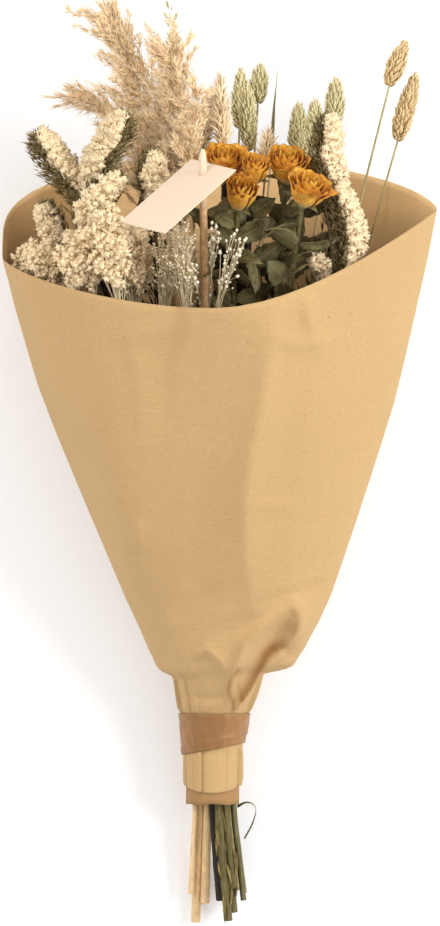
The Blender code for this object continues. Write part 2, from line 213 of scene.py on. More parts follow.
def geometry_tree(name, inputs):
    """An empty Geometry Nodes tree: the tree, its named inputs, and where its result goes."""
    tree = bpy.data.node_groups.new(name, "GeometryNodeTree")
    sockets = tree.interface
    sockets.new_socket("Geometry", in_out="INPUT", socket_type="NodeSocketGeometry")
    for label, kind in inputs:
        sockets.new_socket(label, in_out="INPUT", socket_type=f"NodeSocket{kind}")
    sockets.new_socket("Geometry", in_out="OUTPUT", socket_type="NodeSocketGeometry")
    return tree, add(tree, "NodeGroupInput").outputs, add(tree, "NodeGroupOutput").inputs["Geometry"]


def named(tree, name, data_type="FLOAT"):
    """An attribute of the carrier's points."""
    node = add(tree, "GeometryNodeInputNamedAttribute", {"Name": name}, data_type=data_type)
    return node.outputs["Attribute"]


def close_tree(tree, geometry, material, result):
    """Ends a tree: everything real, in one material."""
    real = add(tree, "GeometryNodeRealizeInstances", {"Geometry": geometry})
    painted = add(tree, "GeometryNodeSetMaterial", {"Geometry": real.outputs[0], "Material": material})
    tree.links.new(painted.outputs[0], result)


def stalk_tree():
    """Round stalks along the carrier's edges, as thick as its attribute says."""
    tree, given, result = geometry_tree("Stalks", (("Sides", "Int"), ("Material", "Material")))
    line = add(tree, "GeometryNodeMeshToCurve", {"Mesh": given["Geometry"]})
    around = {"Resolution": given["Sides"], "Radius": 1.0}
    ring = add(tree, "GeometryNodeCurvePrimitiveCircle", around, mode="RADIUS")
    tube = add(
        tree,
        "GeometryNodeCurveToMesh",
        {
            "Curve": line.outputs[0],
            "Profile Curve": ring.outputs["Curve"],
            "Scale": named(tree, "thickness"),
            "Fill Caps": True,
        },
    )
    close_tree(tree, tube.outputs[0], given["Material"], result)
    return tree


def floret_tree():
    """A shape on every point of the carrier: turned, sized and tinted by its attributes and by chance."""
    tree, given, result = geometry_tree(
        "Florets",
        (
            ("Shape", "Object"),
            ("Least size", "Float"),
            ("Most size", "Float"),
            ("Tilt", "Float"),
            ("Seed", "Int"),
            ("Material", "Material"),
        ),
    )
    shape = add(tree, "GeometryNodeObjectInfo", {"Object": given["Shape"]})
    pointed = add(
        tree,
        "FunctionNodeAlignRotationToVector",
        {"Vector": named(tree, "facing", "FLOAT_VECTOR")},
        axis="Z",
    )
    turned = add(
        tree,
        "FunctionNodeAlignRotationToVector",
        {"Rotation": pointed.outputs[0], "Vector": named(tree, "outward", "FLOAT_VECTOR")},
        axis="Y",
        pivot_axis="Z",
    )
    back = add(tree, "ShaderNodeMath", {0: given["Tilt"], 1: -1.0}, operation="MULTIPLY")
    low = add(tree, "ShaderNodeCombineXYZ", {axis: back.outputs[0] for axis in range(3)})
    high = add(tree, "ShaderNodeCombineXYZ", {axis: given["Tilt"] for axis in range(3)})
    chance = add(
        tree,
        "FunctionNodeRandomValue",
        {0: low.outputs[0], 1: high.outputs[0], "Seed": given["Seed"]},
        data_type="FLOAT_VECTOR",
    )
    swing = add(tree, "FunctionNodeEulerToRotation", {"Euler": chance.outputs[0]})
    loose = add(
        tree,
        "FunctionNodeRotateRotation",
        {"Rotation": turned.outputs[0], "Rotate By": swing.outputs[0]},
        rotation_space="LOCAL",
    )
    share = add(
        tree,
        "FunctionNodeRandomValue",
        {2: given["Least size"], 3: given["Most size"], "Seed": given["Seed"]},
        data_type="FLOAT",
    )
    size = add(
        tree, "ShaderNodeMath", {0: named(tree, "size"), 1: share.outputs[1]}, operation="MULTIPLY"
    )
    set_out = add(
        tree,
        "GeometryNodeInstanceOnPoints",
        {
            "Points": given["Geometry"],
            "Instance": shape.outputs["Geometry"],
            "Rotation": loose.outputs[0],
            "Scale": size.outputs[0],
        },
    )
    shade = add(tree, "FunctionNodeRandomValue", {"Seed": TINT_SEED}, data_type="FLOAT")
    tinted = add(
        tree,
        "GeometryNodeStoreNamedAttribute",
        {"Geometry": set_out.outputs[0], "Name": "tint", "Value": shade.outputs[1]},
        data_type="FLOAT",
        domain="INSTANCE",
    )
    close_tree(tree, tinted.outputs[0], given["Material"], result)
    return tree


TREES = {"stalks": stalk_tree, "florets": floret_tree}


def tree_of(kind):
    """The tree of that kind, built when it is first needed."""
    found = bpy.data.node_groups.get(kind.capitalize())
    return found or TREES[kind]()


def grown(kind, carrier, values):
    """A plain object with the mesh that a Geometry Nodes tree makes from the carrier mesh."""
    tree = tree_of(kind)
    holder = bpy.data.objects.new(kind, carrier)
    modifier = holder.modifiers.new(kind, "NODES")
    modifier.node_group = tree
    keys = {item.name: item.identifier for item in tree.interface.items_tree if item.in_out == "INPUT"}
    for label, value in values.items():
        modifier[keys[label]] = value
    bpy.context.scene.collection.objects.link(holder)
    graph = bpy.context.evaluated_depsgraph_get()
    mesh = bpy.data.meshes.new_from_object(holder.evaluated_get(graph), depsgraph=graph)
    bpy.data.objects.remove(holder)
    bpy.data.meshes.remove(carrier)
    return placed(kind, mesh)


def placed(name, mesh):
    """A new object in the scene, at the origin, with that mesh."""
    made = bpy.data.objects.new(name, mesh)
    bpy.context.scene.collection.objects.link(made)
    return made


# ------------------------------------------------------------------ meshes


def mesh_of(name, points, edges=(), faces=(), **attributes):
    """A mesh with point attributes, floats or vectors."""
    mesh = bpy.data.meshes.new(name)
    mesh.from_pydata([tuple(point) for point in points], list(edges), list(faces))
    for label, values in attributes.items():
        values = np.asarray(values, np.float32)
        kind, key = ("FLOAT_VECTOR", "vector") if values.ndim == 2 else ("FLOAT", "value")
        mesh.attributes.new(label, kind, "POINT").data.foreach_set(key, values.ravel())
    return mesh


def stalks(paths, sides, material):
    """Round stalks along paths, each a list of rows x, y, z, radius."""
    rows = np.vstack(paths)
    edges, along, start = [], [], 0
    for path in paths:
        edges += [(start + step, start + step + 1) for step in range(len(path) - 1)]
        along.append(np.linspace(0, 1, len(path)))
        start += len(path)
    carrier = mesh_of("stalks", rows[:, :3], edges, thickness=rows[:, 3], along=np.concatenate(along))
    return grown("stalks", carrier, {"Sides": sides, "Material": material})


def florets(shape, points, facing, outward, size, material, seed, tilt, least, most):
    """One shape at every point: its tip towards facing, its face towards outward, within a random tilt, and
    between the least and the most of its size.
    """
    points = np.asarray(points, float)
    sizes = np.broadcast_to(np.asarray(size, float), (len(points),))
    carrier = mesh_of("florets", points, facing=unit(facing), outward=unit(outward), size=sizes)
    values = {"Shape": shape, "Least size": least, "Most size": most, "Tilt": tilt}
    return grown("florets", carrier, values | {"Seed": seed, "Material": material})


def loft(name, rings, foot, tip):
    """A small closed shape: rings of equally many points round Z, closed by a point at each end."""
    count = len(rings[0])
    points = [foot, *(point for ring in rings for point in ring), tip]
    last = len(points) - 1
    faces = [(0, 1 + (side + 1) % count, 1 + side) for side in range(count)]
    for level in range(len(rings) - 1):
        base = 1 + level * count
        for side in range(count):
            after = (side + 1) % count
            faces.append((base + side, base + after, base + count + after, base + count + side))
    base = last - count
    faces += [(base + side, base + (side + 1) % count, last) for side in range(count)]
    levels = np.repeat(np.arange(1, len(rings) + 1), count) / (len(rings) + 1)
    mesh = mesh_of(name, points, faces=faces, along=np.r_[0, levels, 1])
    mesh.shade_smooth()
    return bpy.data.objects.new(name, mesh)


def oval(count, height, width, depth, shift=0.0):
    """A ring of points round Z: width along X, depth along Y, moved along Y by shift."""
    turns = np.arange(count) * 2 * math.pi / count
    return [(width * math.cos(turn), depth * math.sin(turn) + shift, height) for turn in turns]


def sheets(name, grids, thickness, material, **attributes):
    """Thin closed sheets, such as petals or leaves, each from a grid of points; attributes are grids too."""
    points, faces, start = [], [], 0
    for grid in grids:
        rows, columns = grid.shape[:2]
        points.append(grid.reshape(-1, 3))
        for row in range(rows - 1):
            for column in range(columns - 1):
                corner = start + row * columns + column
                faces.append((corner, corner + 1, corner + columns + 1, corner + columns))
        start += rows * columns
    flat = {label: np.concatenate([grid.ravel() for grid in values]) for label, values in attributes.items()}
    mesh = mesh_of(name, np.vstack(points), faces=faces, **flat)
    mesh.materials.append(material)
    mesh.shade_smooth()
    return solid(placed(name, mesh), thickness)


def solid(found, thickness, offset=0.0, **settings):
    """Gives an open sheet its thickness, for good."""
    wall = found.modifiers.new("wall", "SOLIDIFY")
    wall.thickness, wall.offset = thickness, offset
    for name, value in settings.items():
        setattr(wall, name, value)
    graph = bpy.context.evaluated_depsgraph_get()
    mesh = bpy.data.meshes.new_from_object(found.evaluated_get(graph), depsgraph=graph)
    name = found.name
    bpy.data.objects.remove(found)
    return placed(name, mesh)


def finished(name, parts, node):
    """Joins the parts into the one piece that stands for a CAD node."""
    whole = parts[0]
    if len(parts) > 1:
        with bpy.context.temp_override(active_object=whole, selected_editable_objects=parts):
            bpy.ops.object.join()
    whole.name = whole.data.name = name
    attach(whole, BODY)
    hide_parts(node)


# ------------------------------------------------------------------ paths

COLLAR_STEP = 2.6 * MM  # a head begins at the upper of the first two rings that lie closer than this


def unit(vectors):
    """The same directions with a length of 1."""
    vectors = np.asarray(vectors, float)
    return vectors / np.maximum(np.linalg.norm(vectors, axis=-1, keepdims=True), 1e-9)


@functools.lru_cache
def rings_of(node):
    """Middle and radius of every ring of a CAD stem, from its cut end to its tip: rows x, y, z, radius."""
    points = np.array([vert.co for vert in frame["nodes"][node].data.vertices], float)
    points = np.unique(np.round(points, 6), axis=0)
    rows = []
    for station in np.unique(np.round(points[:, 1], 5)):
        ring = points[np.abs(points[:, 1] - station) < 0.02 * MM]
        middle = ring.mean(axis=0)
        rows.append((*middle, np.linalg.norm(ring - middle, axis=1).mean()))
    return np.array(rows)


def eased(rows, step, reach=3):
    """Rows about step apart along a polyline, with its corners eased over a few steps."""
    rows = np.asarray(rows, float)
    run = np.r_[0, np.cumsum(np.linalg.norm(np.diff(rows[:, :3], axis=0), axis=1))]
    count = max(3, round(run[-1] / step) + 1)
    reach = min(reach, count - 1)
    even = np.array([np.interp(np.linspace(0, run[-1], count), run, column) for column in rows.T]).T
    before = 2 * even[0] - even[reach:0:-1]
    after = 2 * even[-1] - even[-2 : -reach - 2 : -1]
    weights = np.hanning(2 * reach + 3)[1:-1]
    padded = np.vstack([before, even, after])
    return np.array([np.convolve(column, weights / weights.sum(), "valid") for column in padded.T]).T


def frames(path):
    """Unit vectors along a path, to its side and up from it, at each of its points."""
    ahead = unit(np.gradient(np.asarray(path)[:, :3], axis=0))
    side = unit(np.cross(ahead, (0.0, 0.0, 1.0)))
    return ahead, side, np.cross(side, ahead)


def at_share(path, shares):
    """Rows of a path at shares of its length."""
    places = np.asarray(shares, float) * (len(path) - 1)
    return np.array([np.interp(places, np.arange(len(path)), column) for column in np.asarray(path).T]).T


def round_head(path, shares, turns):
    """Points of a head's axis at shares of its length, with the directions along it and out of it."""
    ahead, side, up = (at_share(part, shares) for part in frames(path))
    turns = np.asarray(turns)[:, None]
    return at_share(path, shares), unit(ahead), unit(side * np.cos(turns) + up * np.sin(turns))


class Plant:
    """A CAD stem read from the frame: its bare stem, and the axis and envelope of its head."""

    def __init__(self, node):
        self.node = node
        rings = rings_of(node)
        bundled = int((rings[:, 1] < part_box("neck_tape")[1].y).sum())  # rings up to the top of the neck
        steps = np.linalg.norm(np.diff(rings[:, :3], axis=0), axis=1)
        collar = bundled + int(np.argmax(steps[bundled:] < COLLAR_STEP))
        self.bare = np.vstack([rings[:bundled], rings[collar]])
        self.stem = eased(self.bare, 6 * MM)
        self.head = eased(rings[collar + 1 :], 2 * MM)
        self.whole = eased(np.vstack([self.bare, rings[collar + 1 :]]), 5 * MM)
        self.seed = sum(ord(letter) * place for place, letter in enumerate(node, 1))
        self.chance = np.random.default_rng(self.seed)


def plants(kind):
    """Every plant of a kind, in the order of its nodes."""
    names = sorted(name for name in frame["nodes"] if name.rstrip("0123456789").rstrip("_") == kind)
    return [Plant(name) for name in names]


def knotted(path, spacing, swell):
    """Thickens a stem at its knots."""
    path = path.copy()
    run = np.r_[0, np.cumsum(np.linalg.norm(np.diff(path[:, :3], axis=0), axis=1))]
    near = np.abs((run / spacing) % 1 - 0.5) * spacing
    path[:, 3] *= 1 + swell * np.exp(-((near / (3 * MM)) ** 2))
    return path


def branch(start, heading, length, sag, steps, thick, thin):
    """A thin side branch that sets out along heading and sags over its length."""
    share = np.linspace(0, 1, steps)[:, None]
    points = np.asarray(start) + np.asarray(heading) * length * share + np.asarray(sag) * length * share**2
    return np.hstack([points, thick + (thin - thick) * share])


# ------------------------------------------------------------------ materials

EVEN = (1, 1, 1)  # a grain as fine along the piece as across it
FINE_TWIG = (1, 0.2, 1)  # a grain drawn out along Y, the way that all the stems run
DRY_BROWN = (0.5, 0.3, 0.12)  # what the dark grain of a dry plant leans to
FOLD_SHADE_KEEPS = (0.45, 0.29, 0.12)  # how much of its red, green and blue the paper keeps under the painted shade deep in a fold


def base_material(name, roughness, specular=0.3, sheen=0.0):
    """A new material with its node tree and its shader."""
    material = bpy.data.materials.new(name)
    material.use_nodes = True
    tree = material.node_tree
    shader = tree.nodes["Principled BSDF"]
    shader.inputs["Roughness"].default_value = roughness
    shader.inputs["Specular IOR Level"].default_value = specular
    shader.inputs["Sheen Weight"].default_value = sheen
    return material, tree, shader


def object_noise(tree, scale, stretch=EVEN, detail=3.0, roughness=0.55):
    """Noise on Object coordinates, stretched along an axis by a small number there."""
    place = add(tree, "ShaderNodeTexCoord").outputs["Object"]
    mapped = add(tree, "ShaderNodeMapping", {"Vector": place, "Scale": stretch})
    inputs = {"Vector": mapped.outputs[0], "Scale": scale, "Detail": detail, "Roughness": roughness}
    return add(tree, "ShaderNodeTexNoise", inputs).outputs[0]


def ramp(tree, factor, stops):
    """A colour that runs through the stops, each a place and a colour."""
    node = add(tree, "ShaderNodeValToRGB", {"Fac": factor})
    points = node.color_ramp.elements
    while len(points) < len(stops):
        points.new(0.5)
    for point, (place, colour) in zip(points, stops):
        point.position, point.color = place, (*colour, 1)
    return node.outputs[0]


def blend(tree, factor, one, other):
    """One colour, or the other where the factor is 1."""
    node = add(tree, "ShaderNodeMix", {0: factor}, data_type="RGBA")
    for place, value in ((6, one), (7, other)):
        if isinstance(value, bpy.types.NodeSocket):
            tree.links.new(value, node.inputs[place])
        else:
            node.inputs[place].default_value = (*value, 1)
    return node.outputs[2]


def attribute(tree, name):
    return add(tree, "ShaderNodeAttribute", attribute_name=name).outputs["Fac"]


def ranged(tree, value, low, high, to_low, to_high):
    """A value moved from one range to another, and kept inside it."""
    inputs = {0: value, 1: low, 2: high, 3: to_low, 4: to_high}
    return add(tree, "ShaderNodeMapRange", inputs).outputs[0]


def bumped(tree, shader, height, strength, distance):
    """Gives the shader's surface fine relief."""
    inputs = {"Height": height, "Strength": strength, "Distance": distance}
    tree.links.new(add(tree, "ShaderNodeBump", inputs).outputs[0], shader.inputs["Normal"])


def scaled(colour, by):
    return tuple(min(1.0, part * by) for part in colour)


def mixed(one, other, share):
    return tuple(a + (b - a) * share for a, b in zip(one, other))


def plant_material(
    name, colour, grain, stretch, contrast, spread, root=None, tip=None, tip_from=0.6,
    roughness=0.85, bump=0.3, sheen=0.0,
):
    """Dry plant: a fine grain, a tint from floret to floret, and a root and a tip of another colour."""
    material, tree, shader = base_material(name, roughness, 0.2, sheen)
    dark = mixed(scaled(colour, 1 - contrast), DRY_BROWN, 0.12)
    fine = object_noise(tree, grain, stretch)
    body = ramp(tree, fine, ((0.3, dark), (0.52, colour), (0.72, scaled(colour, 1 + 0.5 * contrast))))
    along = attribute(tree, "along")
    if root:
        body = blend(tree, ranged(tree, along, 0.0, 0.55, 0.9, 0.0), body, root)
    if tip:
        body = blend(tree, ranged(tree, along, tip_from, 1.0, 0.0, 0.95), body, tip)
    broad = object_noise(tree, 55, detail=2.0)
    both = add(tree, "ShaderNodeMath", {0: broad, 1: attribute(tree, "tint")}, operation="ADD")
    value = ranged(tree, both.outputs[0], 0.3, 1.7, 1 - spread, 1 + spread)
    shaded = add(tree, "ShaderNodeHueSaturation", {"Value": value, "Color": body})
    tree.links.new(shaded.outputs[0], shader.inputs["Base Color"])
    if bump:
        bumped(tree, shader, fine, bump, 0.3 * MM)
    return material


def stem_material(name, colour, contrast):
    """A dry stalk: streaks along it and slightly darker blotches."""
    material, tree, shader = base_material(name, 0.7, 0.35)
    streak = object_noise(tree, 1400, (1, 0.03, 1), 2.0)
    blotch = object_noise(tree, 60, (1, 0.5, 1), 3.0)
    dark, pale = scaled(colour, 1 - contrast), scaled(colour, 1.2)
    body = ramp(tree, streak, ((0.35, dark), (0.6, colour), (0.8, pale)))
    body = blend(tree, ranged(tree, blotch, 0.45, 0.75, 0.0, 0.6), body, scaled(colour, 1 - 1.2 * contrast))
    tree.links.new(body, shader.inputs["Base Color"])
    bumped(tree, shader, streak, 0.5, 0.3 * MM)
    return material


def paper_material(name, colour, gloss=0.0, painted_shade_span=None):
    """Kraft paper: fine fibres, a faint grain, specks and soft mottling. Painted shade makes it a deeper
    brown in deep folds, and can darken it up to one place along Y, fading to its own colour at the next.
    """
    material, tree, shader = base_material(name, 0.82, 0.25)
    fibre = object_noise(tree, 1500, (0.25, 1, 0.6), 4.0, 0.7)
    grain = object_noise(tree, 420, (0.06, 1, 1), 2.0)
    mottle = object_noise(tree, 16, detail=4.0)
    speck = object_noise(tree, 520, detail=1.0)
    body = ramp(tree, fibre, ((0.25, scaled(colour, 0.80)), (0.5, colour), (0.75, scaled(colour, 1.12))))
    body = blend(tree, ranged(tree, grain, 0.35, 0.7, 0.0, 0.28), body, scaled(colour, 0.82))
    body = blend(tree, ranged(tree, mottle, 0.35, 0.7, 0.0, 0.35), body, scaled(colour, 0.88))
    body = blend(tree, ranged(tree, speck, 0.73, 0.78, 0.0, 0.6), body, scaled(colour, 0.45))
    # painted shade: deeper brown and darker deep in the folds, as much as the fold attribute says
    painted_fold_shade = tuple(part * kept for part, kept in zip(colour, FOLD_SHADE_KEEPS))
    body = blend(tree, attribute(tree, "fold"), body, painted_fold_shade)
    # painted shade: darker deep down inside the cone, fading to its own colour between two heights
    if painted_shade_span:
        place = add(tree, "ShaderNodeSeparateXYZ", {0: add(tree, "ShaderNodeTexCoord").outputs["Object"]})
        body = blend(tree, ranged(tree, place.outputs["Y"], *painted_shade_span, 0.85, 0.0), body, scaled(colour, 0.3))
    tree.links.new(body, shader.inputs["Base Color"])
    tree.links.new(ranged(tree, fibre, 0.2, 0.8, 0.72 - gloss, 0.9 - gloss), shader.inputs["Roughness"])
    bumped(tree, shader, fibre, 0.12, 0.2 * MM)
    return material


def wood_material(name, colour):
    """Soft wood: long grain lines and fine pores."""
    material, tree, shader = base_material(name, 0.6, 0.3)
    grain = object_noise(tree, 900, (1, 0.02, 1), 4.0, 0.6)
    pores = object_noise(tree, 2600, (1, 0.06, 1), 2.0)
    body = ramp(tree, grain, ((0.35, scaled(colour, 0.66)), (0.5, colour), (0.68, scaled(colour, 1.3))))
    body = blend(tree, ranged(tree, pores, 0.62, 0.72, 0.0, 0.5), body, scaled(colour, 0.5))
    tip = ranged(tree, attribute(tree, "along"), 0.90, 0.97, 0.0, 0.8)
    body = blend(tree, tip, body, mixed(colour, (0.95, 0.86, 0.72), 0.6))
    tree.links.new(body, shader.inputs["Base Color"])
    bumped(tree, shader, grain, 0.35, 0.2 * MM)
    return material


# ------------------------------------------------------------------ stage

FLOOR_SIDE = 18.0
LIT_POINT = Vector((0, 0.05, 0.05))  # both lights are turned to it, near the middle of the bouquet
SEEN_LENGTH, SEEN_HEIGHT = 601.9 * MM, 0.1  # the view's long side, at a height near the wrap's front
OFF_MIDDLE = Vector((0.45 * MM, 3.15 * MM, 0))  # from the middle of the bouquet to the middle of the view


def build_floor(settings):
    """A plain pale floor."""
    material, tree, shader = base_material("floor_paint", 0.9, 0.1)
    soft = object_noise(tree, 3, detail=2.0)
    pale = tuple(settings.floor)
    tree.links.new(ramp(tree, soft, ((0.3, scaled(pale, 0.985)), (0.7, pale))), shader.inputs["Base Color"])
    half = FLOOR_SIDE / 2
    corners = ((-half, -half, 0), (half, -half, 0), (half, half, 0), (-half, half, 0))
    floor = placed("floor", mesh_of("floor", corners, faces=[(0, 1, 2, 3)]))
    floor.data.materials.append(material)


def build_lights(settings):
    """Even light from all round, a large soft light at the right and a weaker one at the left."""
    world = bpy.data.worlds.new("soft_studio")
    world.use_nodes = True
    sky = world.node_tree.nodes["Background"].inputs
    sky[0].default_value, sky[1].default_value = (1.0, 0.98, 0.945, 1), settings.sky_strength
    bpy.context.scene.world = world
    for name, place, size, power, colour in (
        ("key_softbox", (2.1, 0.45, 1.9), 1.5, settings.key_strength, (0.97, 0.985, 1.0)),
        ("fill_softbox", (-1.7, 1.1, 2.2), 1.8, settings.key_strength * 0.56, (1.0, 0.98, 0.96)),
    ):
        lamp = bpy.data.lights.new(name, "AREA")
        lamp.shape, lamp.size, lamp.energy, lamp.color = "DISK", size, power, colour
        light = bpy.data.objects.new(name, lamp)
        light.location = place
        light.rotation_euler = (LIT_POINT - Vector(place)).to_track_quat("-Z", "Y").to_euler()
        light.visible_camera = False
        bpy.context.scene.collection.objects.link(light)


def build_camera(settings):
    """A camera high above the bouquet that looks straight down."""
    lens = bpy.data.cameras.new("camera")
    lens.sensor_width = 36
    lens.lens = lens.sensor_width * (settings.camera_height - SEEN_HEIGHT) / SEEN_LENGTH
    lens.clip_end = 50
    camera = bpy.data.objects.new("camera", lens)
    low, high = CAD_BOX
    x, y, _ = (low + high) / 2 + OFF_MIDDLE
    camera.location = (x, y, settings.camera_height)
    bpy.context.scene.collection.objects.link(camera)
    bpy.context.scene.camera = camera
    bpy.context.scene.view_settings.view_transform = "Standard"


# ------------------------------------------------------------------ paper

WRAP_COLUMNS, WRAP_ROWS = 208, 136
TAPE_COLUMNS, TAPE_ROWS, BAND_ROWS = 160, 20, 16
WELL_OUTSIDE = 0.4  # further from the axis than any part of the wrap
EDGE_HALVINGS = 14  # find a sleeve's edge to a few hundredths of a millimetre
EDGE_MARGIN = 0.2 * MM  # how far inside the found edge a sleeve is read
FLUTES = ((5, 0.4, 1.0), (7, 2.1, 0.7), (11, 4.0, 0.4))  # waves round the cone, where they start, rise in mm
LAP_TURN = 4.45  # where the outer edge of the sheet lies, round the axis from the right-hand side upwards
CORNER_FOLD = ((126, 186), (138, 158))  # x, y in mm: the mouth's right-hand corner is bent back along it

# Creases of the wrap's front as seen from above: points x, y in mm from the top down, height, how far it
# runs out to the right and to the left in the view, and how rounded it is, also in mm. A negative height is
# a valley.
RIDGE = ((52, 150), (41, 101), (33, 77), (28, 44), (20, 5), (17, -24), (18, -60), (21, -86), (28, -102))
CREASES = (
    (RIDGE, 15.0, 58, 33, 2.5),
    (RIDGE, 6.5, 18, 13, 0.8),
    (((-26, 114), (8, 110), (42, 110)), 16.0, 40, 40, 8),
    (((-98, 140), (-87, 90), (-66, 0), (-40, -95)), 13.0, 60, 34, 14),
    (((30, -119), (22, -134), (14, -156)), 9.0, 6, 10, 1.5),
    (((48, -82), (52, -97), (50.5, -109), (42, -117)), 12.0, 13, 9.0, 0.4),
    (((48, -88), (52, -99), (50.5, -109), (42, -117)), 3.0, 9, 2.2, 0.6),
    (((47, -98), (38, -108), (31, -118)), -7.0, 9, 7, 1.5),
    (((46, -115), (38, -117), (31, -121), (23, -135), (15.5, -158)), -10.5, 4.0, 6.5, 0.8),
    (((44, -90), (26, -106), (17, -115), (7.5, -135), (6, -145), (8, -156)), 8.5, 6.0, 4.5, 0.6),
    (((12, -143), (15, -160)), -3.0, 1.3, 1.3, 0.3),
    (((-19, -133), (-18.5, -125), (-8, -119), (1, -127), (5, -139)), 4.6, 6.0, 1.8, 0.5),
    (((-20, -149), (-8, -151), (4.5, -149)), -2.4, 1.3, 2.8, 0.4),
    (((-31, -134), (-26, -145), (-24, -160)), -2.6, 1.4, 3.0, 0.3),
    (((34, 86), (48, 79), (74, 83)), 5.0, 2.4, 4.5, 0.4),
    (((53, 112), (60, 83)), 4.5, 4.0, 1.8, 0.4),
    (((-57, 81), (-35, 86), (-13, 97)), 3.4, 10.0, 3.0, 1.0),
    (((-13, 97), (-28, 72), (-32, 52)), 3.0, 12.0, 5.0, 1.5),
    (((17, -24), (33, -24), (50, -25)), 2.0, 2.4, 2.4, 0.6),
    (((-53, -33), (-54, -57)), 3.6, 9, 2.6, 0.8),
    (((-60, 96), (-52, 60), (-50, 20)), 2.2, 12, 5, 2.0),
    (((66, 92), (60, 30), (48, -40)), 2.2, 12, 7, 3.0),
    (((-20, -70), (-36, -92), (-30, -112)), 3.0, 10.0, 4.0, 1.5),
)

# Painted shade in the deep folds: points x, y in mm, reach to the right and to the left, and how strong the
# painted shade is.
GUTTER = ((42, -114.5), (35, -118), (30, -123.5), (26, -131), (21, -141), (15.5, -151), (16.5, -172))
FOLD_SHADES = (
    (GUTTER, 3.0, 4.6, 0.88),
    (((14, -129), (7.3, -137), (5.5, -145), (9, -156), (10, -168)), 2.6, 0.8, 0.6),
    (((52, -90), (54, -98), (52, -108)), 0.8, 5.0, 0.15),
)

# Folds of the gathered neck: turn round the axis, height above and below the tape in mm, and width; a fold
# with a negative width runs out the other way.
PLEATS = (
    (2.69, 2.4, 0.8, 0.30), (2.27, 2.0, 0.4, 0.35), (1.967, 0.8, 2.0, 0.40), (1.05, 1.6, 0.5, -0.25),
    (0.45, 2.2, 2.0, -0.30), (3.5, 1.8, 1.2, 0.45), (4.2, 1.6, 1.2, -0.40), (4.9, 1.8, 1.5, 0.50),
    (5.5, 1.6, 1.2, 0.40), (6.05, 1.6, 1.1, -0.30),
)


def smooth_step(values):
    """An even rise from 0 to 1 with soft ends."""
    values = np.clip(values, 0.0, 1.0)
    return values * values * (3 - 2 * values)


def beside_line(line, x, y):
    """Distance from a polyline, positive to its left, and the share of its length at the nearest point."""
    line = np.asarray(line, float) * MM
    lengths = np.linalg.norm(np.diff(line, axis=0), axis=1)
    runs = np.r_[0, np.cumsum(lengths)]
    best = np.full(x.shape, 1e9)
    signed, share = np.zeros(x.shape), np.zeros(x.shape)
    for start, end, length, run in zip(line, line[1:], lengths, runs):
        dx, dy = (end - start) / length
        along = np.clip((x - start[0]) * dx + (y - start[1]) * dy, 0, length)
        off_x, off_y = x - start[0] - along * dx, y - start[1] - along * dy
        far = np.hypot(off_x, off_y)
        nearer = far < best
        best = np.where(nearer, far, best)
        signed = np.where(nearer, far * np.sign(dx * off_y - dy * off_x + 1e-12), signed)
        share = np.where(nearer, (run + along) / runs[-1], share)
    return signed, share


def creased(x, y):
    """Height that the creases add at points of the front."""
    height = np.zeros(x.shape)
    for line, rise, right, left, softness in CREASES:
        signed, share = beside_line(line, x, y)
        reach = np.where(signed > 0, right, left) * MM
        off = np.sqrt(signed**2 + (softness * MM) ** 2) - softness * MM
        ends = np.sqrt(np.clip(np.sin(np.pi * np.clip(share, 0.02, 0.98)), 0, 1))
        height += rise * MM * np.exp(-off / reach) * ends
    return height


def fold_shade_share(x, y):
    """How much painted shade from the deep folds points of the front get, from 0 to 1."""
    share = np.zeros(x.shape)
    for line, right, left, depth in FOLD_SHADES:
        signed, along = beside_line(line, x, y)
        reach = np.where(signed > 0, right, left) * MM
        ends = np.clip(4 * np.sin(np.pi * along), 0, 1)
        share = np.maximum(share, depth * ends * np.exp(-((signed / reach) ** 2)))
    return share


@functools.lru_cache
def skin_of(node):
    """A CAD node's mesh, for finding where a ray meets it."""
    mesh = frame["nodes"][node].data
    corners = [tuple(face.vertices) for face in mesh.polygons]
    return BVHTree.FromPolygons([vert.co for vert in mesh.vertices], corners)


def reach_at(skin, middle, y, turn):
    """Distance from the axis to a sleeve's outer face, or below 0 where there is no sleeve."""
    heading = Vector((math.cos(turn), 0, math.sin(turn)))
    hit = skin.ray_cast(middle(y) + heading * WELL_OUTSIDE, -heading, WELL_OUTSIDE)[0]
    return (hit - middle(y)).dot(heading) if hit else -1.0


def edge_at(skin, middle, turn, inside, outside):
    """How far along Y a sleeve reaches at a turn, from a place inside it towards one beyond its edge."""
    for _ in range(EDGE_HALVINGS):
        halfway = (inside + outside) / 2
        if reach_at(skin, middle, halfway, turn) > 0:
            inside = halfway
        else:
            outside = halfway
    return inside


@functools.lru_cache
def wrap_axis():
    """The line that the paper goes round, from the neck to the middle of the mouth."""
    low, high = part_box("paper_wrap")
    neck = sum(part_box("stem_band"), Vector()) / 2
    mouth = Vector(((low.x + high.x) / 2, high.y, high.z / 2))
    return lambda y: neck.lerp(mouth, (y - neck.y) / (mouth.y - neck.y))


def sleeve(node, columns, inside):
    """The skin of a CAD sleeve, turns round its axis, and where its foot and its rim lie at each turn."""
    skin, middle = skin_of(node), wrap_axis()
    low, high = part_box(node)
    turns = np.arange(columns) * 2 * math.pi / columns
    foot = np.array([edge_at(skin, middle, turn, inside, low.y - MM) for turn in turns]) + EDGE_MARGIN
    rim = np.array([edge_at(skin, middle, turn, inside, high.y + MM) for turn in turns]) - EDGE_MARGIN
    return skin, turns, foot, rim


def reaches(skin, turns, y):
    """How far out a sleeve's skin lies at every turn of every row of heights."""
    middle = wrap_axis()
    return np.array([[reach_at(skin, middle, place, turn) for place, turn in zip(row, turns)] for row in y])


def round_axis(turns, y, reach):
    """Points at a reach from the wrap's axis."""
    middle = wrap_axis()
    centre = np.array([[middle(place) for place in row] for row in y])
    turns = np.broadcast_to(turns, y.shape)
    return centre + reach[..., None] * np.stack([np.cos(turns), 0 * turns, np.sin(turns)], axis=-1)


